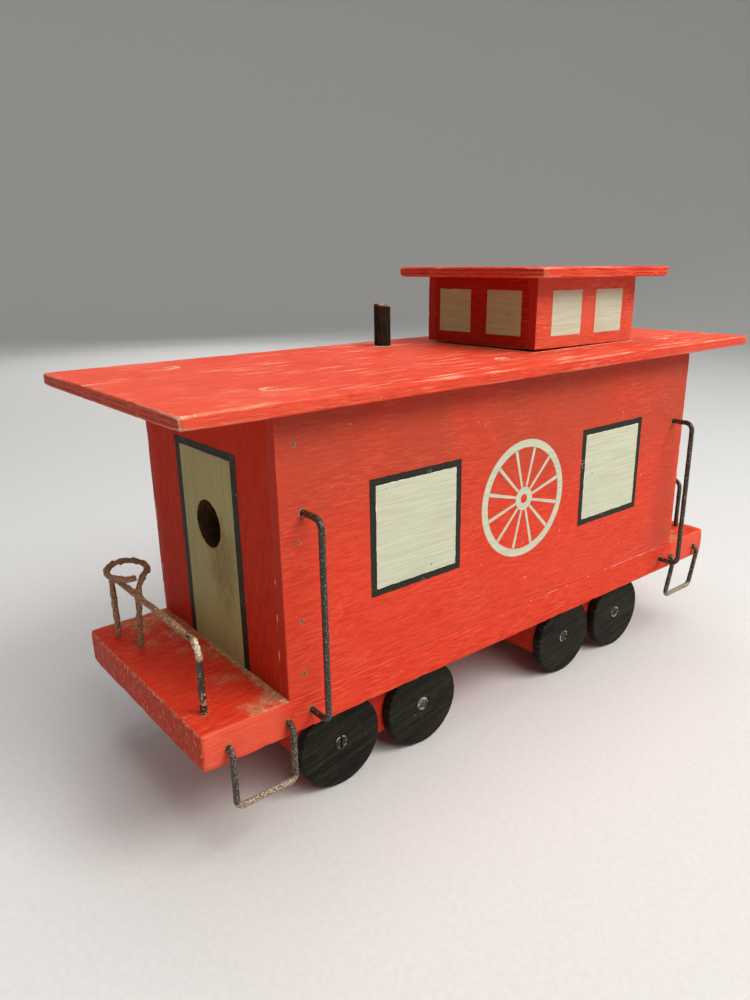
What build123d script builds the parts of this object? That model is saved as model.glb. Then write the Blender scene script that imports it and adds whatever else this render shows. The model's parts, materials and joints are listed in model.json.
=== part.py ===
from build123d import *
from math import cos, radians, sin, tan
import os

# A handmade wooden model caboose, in millimetres.
# +Z is up and z = 0 is the surface that the wheels stand on. The origin is under the middle of
# the body. X runs along the caboose: the front, with the brake wheel, is at -X, the rear at +X.
# "Right" is the -Y side and "left" the +Y side, as seen by someone facing the front.

# ---------------------------------------------------------------- driving dimensions
board = 19.05  # 3/4 inch board: the floor, the end walls and the roof rib
ply = 6.35  # 1/4 inch plywood: the sides, the roof and the cupola
wire = 3.2  # diameter of the wire that all the ironwork is bent from

body_width = 139.7  # a 1x6 board is this wide
body_length = 331.9
wall_height = 140.9
floor_length = 425.0

roof_length = 430.2
roof_width = 164.9
roof_shift = -1.7  # the roof board is fixed a little to the right of the middle

wheel_radius = 26.4
wheel_thickness = 6.6
wheel_outer_face = 55.3  # |y| of a wheel's outer face
truck_centre = 95.65  # |x| of the middle of each truck
half_wheelbase = 29.85
block_length = 96.0
block_width = 96.0
block_height = 41.4

cupola_length = 99.2
cupola_width = 94.4
cupola_height = 41.6  # of its walls
cupola_rear = 131.7  # x of the rear wall's outer face
cupola_shift = 2.0  # y of the cupola's middle
cupola_tilt = 0.7  # degrees: it stands on its rear wall, with the front a little higher
cupola_roof_length = 125.6
cupola_roof_width = 126.0

cleat_width = 60.0
cleat_drop = 10.0  # how far a cleat reaches down into the roof opening
cleat_rise = 15.4
cleat_clearance = 1.3

stack_x = -6.5
stack_y = 51.0
stack_radius = 5.4
stack_top = 26.8  # height above the roof
stack_foot = 12.0  # length inside the rib, below the roof board
stack_cut = 5.0  # degrees that the top is sawn out of square

rib_x = -4.4
rib_height = 38.1

door_hole_radius = 12.7  # a one inch hole
door_hole_z = 147.6

railing_x = 202.0
railing_half_width = 52.7
railing_z = 112.0
railing_bend = 6.0

grab_x = 153.0
grab_top = 168.0
grab_reach = 14.5  # from the side panel to the middle of the wire
grab_bend = 5.0

step_inner = 167.0  # |x| of the two legs of a step iron
step_outer = 199.5
step_z = 34.0
step_reach = 4.0
step_bend = 3.9
step_pin_drop = 1.4  # how far the pins are below the middle of the floor's edge
# One step iron has been knocked: how far its lower end has gone along x, and toward the floor.
step_lean = {("right", "rear"): (-3.5, 2.5)}

brake_x = -198.1
brake_y = 30.5
brake_height = 41.7  # along the post, from the floor to the ring
brake_lean = (0.0, -0.15)  # how far the post leans along x and y for each millimetre up
brake_heading = 42.0  # degrees from +X: the way that the post's top bends off into the ring
brake_ring_radius = 10.5
brake_ring_turn = 320.0  # degrees of the ring that the wire goes round
brake_bend = 9.9

edge_round = 0.6  # sanded edges of the floor and of the outer plywood faces
roof_round = 0.9  # the two roofs are sanded rounder
block_round = 0.8  # truck blocks and wheels
floor_corner = 1.5
roof_corner = 2.0
stack_bevel = 0.4
cleat_bevel = 1.0

wire_depth = 12.0  # length of each wire end inside the wood
fit = 0.05  # radial clearance of everything that goes into a hole
angle = 82.0  # included angle of every countersink and screw head

nail_radius = 0.8
nail_head_radius = 1.3
nail_head = 0.5
nail_length = 30.0
nail_heights = [87.0, 115.0, 154.0, 200.1]

# ---------------------------------------------------------------- levels and faces
floor_bottom = 56.1
floor_top = floor_bottom + board
wall_top = floor_top + wall_height
roof_top = wall_top + ply
half_width = body_width / 2
half_length = body_length / 2
floor_middle = (floor_bottom + floor_top) / 2
step_pin_z = floor_middle - step_pin_drop
railing_foot = floor_top - wire_depth
inner_half_width = half_width - ply
end_wall_x = half_length - board / 2  # |x| of the middle of each end wall
block_bottom = floor_bottom - block_height
railing_y = [-railing_half_width, railing_half_width]
cone = tan(radians(angle / 2))  # radius that a countersink gains per millimetre of depth
cupola_front = cupola_rear - cupola_length
opening_front = cupola_front + ply - cleat_clearance
opening_rear = cupola_rear - ply + cleat_clearance

# Sides and ends, as the sign of y or x, for the loops below.
sides = {"right": -1, "left": 1}
ends = {"front": -1, "rear": 1}

os.makedirs("parts", exist_ok=True)


def write_piece(builder, name):
    """Label a finished piece and write its STEP file."""
    builder.part.label = name
    export_step(builder.part, f"parts/{name}.step")


def side_plane(side, y=half_width):
    """A plane facing out of one side at |y|, with its own x along +X."""
    return Plane(origin=(0, side * y, 0), x_dir=(1, 0, 0), z_dir=(0, side, 0))


def side_points(side, points):
    """Points given as (x, z), in the local coordinates of side_plane."""
    return [(x, -side * z) for x, z in points]


# ---------------------------------------------------------------- fixings
def flat_head_screw(length, shank_radius, head_radius, slot_turn=0.0):
    """A slotted wood screw, its head's face at z = 0 and its point down."""
    head_height = (head_radius - shank_radius) / cone
    point_height = 3 * shank_radius
    with BuildPart() as screw:
        with BuildSketch(Plane.XZ):
            with BuildLine():
                Polyline(
                    (0, 0),
                    (head_radius, 0),
                    (shank_radius, -head_height),
                    (shank_radius, point_height - length),
                    (0, -length),
                    close=True,
                )
            make_face()
        revolve(axis=Axis.Z)
        with BuildSketch():
            Rectangle(2.2 * head_radius, 0.3 * head_radius, rotation=slot_turn)
        extrude(amount=-0.25 * head_radius, mode=Mode.SUBTRACT)
    return screw.part


wheel_screw_length = 38.0
wheel_screw_shank = 2.1
wheel_screw_head = 4.0
wheel_screw_sunk = 0.3  # its head lies this far below the wheel's face
wheel_sink_radius = 4.7
roof_screw_length = 19.05
roof_screw_shank = 1.75
roof_screw_head = 3.55
roof_screw_sunk = 1.6
roof_sink_radius = 5.0
plug_top = 0.5  # the filling over a roof screw stops this far below the roof's face
floor_screw_length = 38.0
block_screw_length = 57.0
screw_shank = 2.1
screw_head = 4.0
screw_sunk = 0.5
floor_screw_y = 35.0  # |y| of the screws that hold the end walls
block_screw_y = 25.0  # |y| of the screws that hold the truck blocks

wheel_sites = [(end * truck_centre + axle * half_wheelbase) for end in (-1, 1) for axle in (-1, 1)]
roof_screw_sites = [
    (-end_wall_x, -52.5),
    (rib_x, -53.0),
    (end_wall_x, -52.5),
    (-end_wall_x, 49.0),
    (end_wall_x, 49.0),
]
floor_screw_sites = [(end * end_wall_x, side * floor_screw_y) for end in (-1, 1) for side in (-1, 1)]
block_screw_sites = [(end * truck_centre, side * block_screw_y) for end in (-1, 1) for side in (-1, 1)]
nail_points = [(end * end_wall_x, z) for end in (-1, 1) for z in nail_heights]

# ---------------------------------------------------------------- floor
brake_frame = Plane(
    origin=(brake_x, brake_y, floor_top),
    x_dir=(1, 0, -brake_lean[0]),
    z_dir=(brake_lean[0], brake_lean[1], 1),
)

with BuildPart() as floor_board:
    with BuildSketch(Plane.XY.offset(floor_bottom)):
        Rectangle(floor_length, body_width)
    extrude(amount=board)
    fillet(floor_board.edges().filter_by(Axis.Z), floor_corner)
    fillet(floor_board.faces().filter_by(Axis.Z).edges(), edge_round)
    # Holes for the posts of the two railings and of the brake wheel.
    with BuildSketch(Plane.XY.offset(floor_top)):
        with Locations([(end * railing_x, y) for end in (-1, 1) for y in railing_y]):
            Circle(wire / 2 + fit)
    extrude(amount=-wire_depth, mode=Mode.SUBTRACT)
    with BuildSketch(brake_frame.offset(1)):
        Circle(wire / 2 + fit)
    extrude(amount=-1 - wire_depth, mode=Mode.SUBTRACT)
    # Holes in both edges for the step irons and the lower ends of the grab irons.
    edge_points = [(end * grab_x, floor_middle) for end in (-1, 1)]
    edge_points += [(end * x, step_pin_z) for end in (-1, 1) for x in (step_inner, step_outer)]
    for side in sides.values():
        with BuildSketch(side_plane(side)):
            with Locations(side_points(side, edge_points)):
                Circle(wire / 2 + fit)
        extrude(amount=-wire_depth, mode=Mode.SUBTRACT)
    # Screws come up from below: through the floor, or out of the truck blocks.
    underside = Plane(origin=(0, 0, floor_bottom), x_dir=(1, 0, 0), z_dir=(0, 0, -1))
    with Locations(underside):
        with Locations([(x, -y) for x, y in floor_screw_sites]):
            CounterSinkHole(screw_shank + fit, screw_head + screw_sunk * cone + fit)
    with BuildSketch(Plane.XY.offset(floor_bottom)):
        with Locations(block_screw_sites):
            Circle(screw_shank + fit)
    extrude(amount=block_screw_length + screw_sunk - block_height, mode=Mode.SUBTRACT)
write_piece(floor_board, "floor_board")

# ---------------------------------------------------------------- body walls
for side_name, side in sides.items():
    with BuildPart() as side_panel:
        with BuildSketch(Plane.XY.offset(floor_top)):
            with Locations((0, side * (half_width - ply / 2))):
                Rectangle(body_length, ply)
        extrude(amount=wall_height)
        outer_face = side_panel.faces().filter_by(Axis.Y).sort_by(Axis.Y)[-1 if side > 0 else 0]
        fillet(outer_face.edges(), edge_round)
        with BuildSketch(side_plane(side)):
            with Locations(side_points(side, [(-grab_x, grab_top), (grab_x, grab_top)])):
                Circle(wire / 2 + fit)
            with Locations(side_points(side, nail_points)):
                Circle(nail_radius + fit)
        extrude(amount=-ply, mode=Mode.SUBTRACT)
        with BuildSketch(side_plane(side)):
            with Locations(side_points(side, nail_points)):
                Circle(nail_head_radius + fit)
        extrude(amount=-nail_head, mode=Mode.SUBTRACT)
    write_piece(side_panel, f"side_panel_{side_name}")

for end_name, end in ends.items():
    with BuildPart() as end_wall:
        with BuildSketch(Plane.XY.offset(floor_top)):
            with Locations((end * end_wall_x, 0)):
                Rectangle(board, 2 * inner_half_width)
        extrude(amount=wall_height)
        # The wires' and nails' holes go on from the side panels into the wall's edges.
        for side in sides.values():
            with BuildSketch(side_plane(side, inner_half_width)):
                with Locations(side_points(side, [(end * grab_x, grab_top)])):
                    Circle(wire / 2 + fit)
            extrude(amount=ply - wire_depth, mode=Mode.SUBTRACT)
            with BuildSketch(side_plane(side, inner_half_width)):
                with Locations(side_points(side, [(end * end_wall_x, z) for z in nail_heights])):
                    Circle(nail_radius + fit)
            extrude(amount=ply - nail_length, mode=Mode.SUBTRACT)
        with BuildSketch(Plane.XY.offset(wall_top)):
            with Locations([(x, y) for x, y in roof_screw_sites if x * end > half_length / 2]):
                Circle(roof_screw_shank + fit)
        extrude(amount=ply - roof_screw_sunk - roof_screw_length, mode=Mode.SUBTRACT)
        with BuildSketch(Plane.XY.offset(floor_top)):
            with Locations([(x, y) for x, y in floor_screw_sites if x * end > 0]):
                Circle(screw_shank + fit)
        extrude(amount=floor_screw_length + screw_sunk - board, mode=Mode.SUBTRACT)
        if end_name == "front":
            front_face = Plane(origin=(-half_length, 0, door_hole_z), x_dir=(0, 1, 0), z_dir=(-1, 0, 0))
            with Locations(front_face):
                Hole(door_hole_radius)
    write_piece(end_wall, f"{end_name}_wall")

# ---------------------------------------------------------------- roof
with BuildPart() as roof_board:
    with BuildSketch(Plane.XY.offset(wall_top)):
        with Locations((0, roof_shift)):
            RectangleRounded(roof_length, roof_width, roof_corner)
        with Locations(((opening_front + opening_rear) / 2, cupola_shift)):
            Rectangle(
                opening_rear - opening_front,
                cleat_width + 2 * cleat_clearance,
                mode=Mode.SUBTRACT,
            )
        with Locations((stack_x, stack_y)):
            Circle(stack_radius + fit, mode=Mode.SUBTRACT)
    extrude(amount=ply)
    rim = roof_board.edges().filter_by(
        lambda edge: abs(edge.center().X) > half_length + 5 or abs(edge.center().Y) > half_width + 5
    )
    fillet(rim.filter_by(Axis.Z, reverse=True), roof_round)
    with Locations(Plane.XY.offset(roof_top)):
        with Locations(roof_screw_sites):
            CounterSinkHole(roof_screw_shank + fit, roof_sink_radius)
write_piece(roof_board, "roof_board")

with BuildPart() as roof_rib:
    with BuildSketch(Plane.XY.offset(wall_top)):
        with Locations((rib_x, 0)):
            Rectangle(board, 2 * inner_half_width)
    extrude(amount=-rib_height)
    with BuildSketch(Plane.XY.offset(wall_top)):
        with Locations((stack_x, stack_y)):
            Circle(stack_radius + fit)
    extrude(amount=-stack_foot, mode=Mode.SUBTRACT)
    with BuildSketch(Plane.XY.offset(wall_top)):
        with Locations(roof_screw_sites[1]):
            Circle(roof_screw_shank + fit)
    extrude(amount=ply - roof_screw_sunk - roof_screw_length, mode=Mode.SUBTRACT)
write_piece(roof_rib, "roof_rib")

stack_cut_plane = Plane(
    origin=(stack_x, stack_y, roof_top + stack_top),
    z_dir=(sin(radians(stack_cut)), 0, cos(radians(stack_cut))),
)
with BuildPart() as smoke_stack:
    with BuildSketch(Plane.XY.offset(wall_top - stack_foot)):
        with Locations((stack_x, stack_y)):
            Circle(stack_radius)
    extrude(amount=stack_foot + ply + stack_top + stack_radius)
    split(bisect_by=stack_cut_plane, keep=Keep.BOTTOM)
    chamfer(smoke_stack.edges().sort_by(Axis.Z)[-1], stack_bevel)
write_piece(smoke_stack, "smoke_stack")

# ---------------------------------------------------------------- cupola
# Its own frame: the origin is on the roof under the middle of the rear wall's outer face.
tilt = radians(cupola_tilt)
cupola_frame = Plane(
    origin=(cupola_rear, cupola_shift, roof_top),
    x_dir=(cos(tilt), 0, -sin(tilt)),
    z_dir=(sin(tilt), 0, cos(tilt)),
)

for side_name, side in sides.items():
    with BuildPart() as cupola_side:
        with BuildSketch(cupola_frame):
            with Locations((-cupola_length / 2, side * (cupola_width - ply) / 2)):
                Rectangle(cupola_length, ply)
        extrude(amount=cupola_height)
        outer_face = cupola_side.faces().filter_by(Axis.Y).sort_by(Axis.Y)[-1 if side > 0 else 0]
        fillet(outer_face.edges(), edge_round)
    write_piece(cupola_side, f"cupola_{side_name}_wall")

for end_name, end in ends.items():
    wall_x = -cupola_length / 2 + end * (cupola_length - ply) / 2
    cleat_x = wall_x - end * ply
    with BuildPart() as cupola_end:
        with BuildSketch(cupola_frame):
            with Locations((wall_x, 0)):
                Rectangle(ply, cupola_width - 2 * ply)
        extrude(amount=cupola_height)
    write_piece(cupola_end, f"cupola_{end_name}_wall")
    with BuildPart() as cupola_cleat:
        with BuildSketch(cupola_frame.offset(-cleat_drop)):
            with Locations((cleat_x, 0)):
                Rectangle(ply, cleat_width)
        extrude(amount=cleat_drop + cleat_rise)
        chamfer(cupola_cleat.faces().sort_by(Axis.Z)[0].edges(), cleat_bevel)
    write_piece(cupola_cleat, f"cupola_cleat_{end_name}")

with BuildPart() as cupola_roof:
    with BuildSketch(cupola_frame.offset(cupola_height)):
        with Locations((-cupola_length / 2, 0)):
            RectangleRounded(cupola_roof_length, cupola_roof_width, roof_corner)
    extrude(amount=ply)
    fillet(cupola_roof.faces().filter_by(cupola_frame).edges(), roof_round)
write_piece(cupola_roof, "cupola_roof")

# ---------------------------------------------------------------- trucks and wheels
for end_name, end in ends.items():
    block_x = end * truck_centre
    block_wheels = [x for x in wheel_sites if x * end > 0]
    with BuildPart() as truck_block:
        with BuildSketch(Plane.XY.offset(block_bottom)):
            with Locations((block_x, 0)):
                Rectangle(block_length, block_width)
        extrude(amount=block_height)
        fillet(truck_block.faces().sort_by(Axis.Z)[0].edges(), block_round)
        for side in sides.values():
            with BuildSketch(side_plane(side, block_width / 2)):
                with Locations(side_points(side, [(x, wheel_radius) for x in block_wheels])):
                    Circle(wheel_screw_shank + fit)
            hole_depth = wheel_screw_length - (wheel_outer_face - wheel_screw_sunk - block_width / 2)
            extrude(amount=-hole_depth, mode=Mode.SUBTRACT)
        block_face = Plane(origin=(0, 0, block_bottom), x_dir=(1, 0, 0), z_dir=(0, 0, -1))
        with Locations(block_face):
            with Locations([(x, -y) for x, y in block_screw_sites if x * end > 0]):
                CounterSinkHole(screw_shank + fit, screw_head + screw_sunk * cone + fit)
    write_piece(truck_block, f"truck_block_{end_name}")

for side_name, side in sides.items():
    for number, wheel_x in enumerate(wheel_sites, start=1):
        with BuildPart() as wheel:
            with BuildSketch(side_plane(side, wheel_outer_face)):
                with Locations(side_points(side, [(wheel_x, wheel_radius)])):
                    Circle(wheel_radius)
            extrude(amount=-wheel_thickness)
            fillet(wheel.edges().filter_by(GeomType.CIRCLE), block_round)
            with Locations(side_plane(side, wheel_outer_face)):
                with Locations(side_points(side, [(wheel_x, wheel_radius)])):
                    CounterSinkHole(wheel_screw_shank + fit, wheel_sink_radius)
        write_piece(wheel, f"wheel_{side_name}_{number}")

# ---------------------------------------------------------------- screws, fillings and nails
slot_turns = [88, 25, -35, 10, 50, -20, 5, 80]  # each screw stopped where it was tight
with BuildPart() as wheel_screws:
    turns = iter(slot_turns)
    for side in sides.values():
        for wheel_x in wheel_sites:
            screw = flat_head_screw(wheel_screw_length, wheel_screw_shank, wheel_screw_head, next(turns))
            head_plane = side_plane(side, wheel_outer_face - wheel_screw_sunk)
            with Locations(head_plane):
                with Locations(side_points(side, [(wheel_x, wheel_radius)])):
                    add(screw)
write_piece(wheel_screws, "wheel_screws")

screw = flat_head_screw(block_screw_length, screw_shank, screw_head)
with BuildPart() as block_screws:
    with Locations(Plane(origin=(0, 0, block_bottom + screw_sunk), x_dir=(1, 0, 0), z_dir=(0, 0, -1))):
        with Locations([(x, -y) for x, y in block_screw_sites]):
            add(screw)
write_piece(block_screws, "block_screws")

screw = flat_head_screw(floor_screw_length, screw_shank, screw_head)
with BuildPart() as floor_screws:
    with Locations(Plane(origin=(0, 0, floor_bottom + screw_sunk), x_dir=(1, 0, 0), z_dir=(0, 0, -1))):
        with Locations([(x, -y) for x, y in floor_screw_sites]):
            add(screw)
write_piece(floor_screws, "floor_screws")

screw = flat_head_screw(roof_screw_length, roof_screw_shank, roof_screw_head)
with BuildPart() as roof_screws:
    with Locations(Plane.XY.offset(roof_top - roof_screw_sunk)):
        with Locations(roof_screw_sites):
            add(screw)
write_piece(roof_screws, "roof_screws")

# The filling over each roof screw fits the countersink above the screw's head.
plug_bottom_radius = roof_sink_radius - roof_screw_sunk * cone - fit
plug_height = roof_screw_sunk - plug_top
with BuildPart() as screw_plugs:
    with Locations(Plane.XY.offset(roof_top - roof_screw_sunk)):
        with Locations(roof_screw_sites):
            Cone(
                plug_bottom_radius,
                plug_bottom_radius + plug_height * cone,
                plug_height,
                align=(Align.CENTER, Align.CENTER, Align.MIN),
            )
write_piece(screw_plugs, "screw_plugs")

for side_name, side in sides.items():
    with BuildPart() as side_nails:
        with BuildSketch(side_plane(side, half_width - nail_head)):
            with Locations(side_points(side, nail_points)):
                Circle(nail_head_radius)
        extrude(amount=nail_head)
        with BuildSketch(side_plane(side, half_width - nail_head)):
            with Locations(side_points(side, nail_points)):
                Circle(nail_radius)
        extrude(amount=nail_head - nail_length)
    write_piece(side_nails, f"side_nails_{side_name}")


# ---------------------------------------------------------------- bent wire ironwork
def bent_wire(points, bend):
    """A round wire along straight runs joined by bends of one radius."""
    with BuildPart() as bent:
        with BuildLine() as route:
            FilletPolyline(*points, radius=bend)
        with BuildSketch(Plane(origin=route.line @ 0, z_dir=route.line % 0)):
            Circle(wire / 2)
        sweep()
    return bent


for end_name, end in ends.items():
    railing_route = [
        (end * railing_x, -railing_half_width, railing_foot),
        (end * railing_x, -railing_half_width, railing_z),
        (end * railing_x, railing_half_width, railing_z),
        (end * railing_x, railing_half_width, railing_foot),
    ]
    write_piece(bent_wire(railing_route, railing_bend), f"{end_name}_railing")

for side_name, side in sides.items():
    hole_end = side * (half_width - wire_depth)
    grab_y = side * (half_width + grab_reach)
    step_y = side * (half_width + step_reach)
    for end_name, end in ends.items():
        grab_route = [
            (end * grab_x, hole_end, floor_middle),
            (end * grab_x, grab_y, floor_middle),
            (end * grab_x, grab_y, grab_top),
            (end * grab_x, hole_end, grab_top),
        ]
        write_piece(bent_wire(grab_route, grab_bend), f"grab_iron_{side_name}_{end_name}")
        lean_x, lean_in = step_lean.get((side_name, end_name), (0, 0))
        low_y = step_y - side * lean_in
        step_route = [
            (end * step_inner, hole_end, step_pin_z),
            (end * step_inner, step_y, step_pin_z),
            (end * step_inner + lean_x, low_y, step_z),
            (end * step_outer + lean_x, low_y, step_z),
            (end * step_outer, step_y, step_pin_z),
            (end * step_outer, hole_end, step_pin_z),
        ]
        write_piece(bent_wire(step_route, step_bend), f"step_iron_{side_name}_{end_name}")

# The brake wheel is one wire: a post whose top bends off sideways into a flat ring. The ring's
# middle is to the left of the way the bend heads, and the wire stops just short of the post.
heading = Vector(1, 0, 0).rotate(Axis.Z, brake_heading)
leftward = heading.rotate(Axis.Z, 90)
bend_start = Vector(0, 0, brake_height - brake_bend)
bend_middle = (
    bend_start
    + heading * brake_bend * (1 - cos(radians(45)))
    + Vector(0, 0, brake_bend * sin(radians(45)))
)
ring_start = Vector(0, 0, brake_height) + heading * brake_bend
ring_middle = ring_start + leftward * brake_ring_radius
half_ring = brake_ring_turn / 2


def ring_point(turned):
    """The point of the ring that the wire reaches after turning this many degrees."""
    return ring_middle - leftward.rotate(Axis.Z, turned) * brake_ring_radius


def on_post(point):
    """A point given along the leaning post's own axes, in the model's frame."""
    return brake_frame.from_local_coords(point)


with BuildPart() as brake_wheel:
    with BuildLine():
        Line(on_post(Vector(0, 0, -wire_depth)), on_post(bend_start))
        ThreePointArc(on_post(bend_start), on_post(bend_middle), on_post(ring_start))
        for turned in (0, half_ring):
            ThreePointArc(
                on_post(ring_point(turned)),
                on_post(ring_point(turned + half_ring / 2)),
                on_post(ring_point(turned + half_ring)),
            )
    with BuildSketch(brake_frame.offset(-wire_depth)):
        Circle(wire / 2)
    sweep()
write_piece(brake_wheel, "brake_wheel")
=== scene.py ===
import json
import math
import bmesh
import bpy
import numpy as np
from mathutils import Matrix, Vector, noise


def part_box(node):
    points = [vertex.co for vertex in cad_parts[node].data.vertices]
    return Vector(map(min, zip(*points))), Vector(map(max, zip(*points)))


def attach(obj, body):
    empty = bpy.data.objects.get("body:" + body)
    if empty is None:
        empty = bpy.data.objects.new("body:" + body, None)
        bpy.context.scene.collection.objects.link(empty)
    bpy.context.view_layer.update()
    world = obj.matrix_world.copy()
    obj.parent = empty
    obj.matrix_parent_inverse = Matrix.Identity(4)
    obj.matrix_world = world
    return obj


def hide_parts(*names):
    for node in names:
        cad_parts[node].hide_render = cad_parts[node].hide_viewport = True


# The looks of a handmade wooden model caboose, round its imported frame. Metres, +Z up.
# The front, with the brake wheel, is at -X, and the right side at -Y, as in the frame.
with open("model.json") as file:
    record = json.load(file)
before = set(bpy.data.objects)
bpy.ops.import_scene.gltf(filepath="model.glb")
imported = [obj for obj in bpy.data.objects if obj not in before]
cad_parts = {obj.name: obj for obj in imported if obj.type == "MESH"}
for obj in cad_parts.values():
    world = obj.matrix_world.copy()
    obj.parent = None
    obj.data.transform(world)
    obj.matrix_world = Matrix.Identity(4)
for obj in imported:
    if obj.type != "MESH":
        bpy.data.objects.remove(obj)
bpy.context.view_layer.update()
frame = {"nodes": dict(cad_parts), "record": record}

MM = 0.001
ROOT = "body"
COARSE = 1.0

# ------------------------------------------------------------------ places, from the frame
panel_low, panel_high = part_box("side_panel_right")
_, floor_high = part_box("floor_board")
_, roof_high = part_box("roof_board")
half_width = -panel_low.y
half_length = panel_high.x
inner_half_width = -panel_high.y + 0.05 * MM
inner_half_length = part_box("rear_wall")[0].x + 0.05 * MM
floor_top = floor_high.z
roof_top = roof_high.z

door_hole = frame["record"]["mounts"][0]["pos_m"]
door_hole_radius = frame["record"]["mounts"][0]["dims"]["r_mm"] * MM

SIDES = {"right": -1, "left": 1}
ENDS = {"front": -1, "rear": 1}


def upward_normal(node):
    """The normal of a node's largest face that looks up."""
    faces = [f for f in frame["nodes"][node].data.polygons if f.normal.z > 0.9]
    return max(faces, key=lambda f: f.area).normal.copy()


# The cupola stands a little askew. Its own axes: X along it, Y across, and Z up its walls,
# from the point on the roof under the middle of its rear wall's outer face.
cupola_up = upward_normal("cupola_roof")
cupola_along = Vector((0, 1, 0)).cross(cupola_up).normalized()
rear_low, rear_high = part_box("cupola_rear_wall")
cupola_foot = Vector((rear_high.x, (rear_low.y + rear_high.y) / 2, roof_top))
cupola_axes = Matrix.Translation(cupola_foot) @ Matrix(
    (cupola_along, Vector((0, 1, 0)), cupola_up)
).transposed().to_4x4()


# The smoke stack leans a little too.
stack_up = upward_normal("smoke_stack")
stack_reach = max(v.co.dot(stack_up) for v in frame["nodes"]["smoke_stack"].data.vertices)


def box_in(node, axes):
    """A node's lowest and highest corners along other axes."""
    inward = axes.inverted()
    points = [inward @ v.co for v in frame["nodes"][node].data.vertices]
    low = Vector([min(p[i] for p in points) for i in range(3)])
    return low, Vector([max(p[i] for p in points) for i in range(3)])


# ------------------------------------------------------------------ materials
class Value:
    """A node's output. Arithmetic on it adds Math nodes."""

    def __init__(self, paint, socket):
        self.paint, self.socket = paint, socket

    def __add__(self, other):
        return self.paint.math("ADD", self, other)

    def __sub__(self, other):
        return self.paint.math("SUBTRACT", self, other)

    def __rsub__(self, other):
        return self.paint.math("SUBTRACT", other, self)

    def __mul__(self, other):
        return self.paint.math("MULTIPLY", self, other)

    def __abs__(self):
        return self.paint.math("ABSOLUTE", self)


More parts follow.
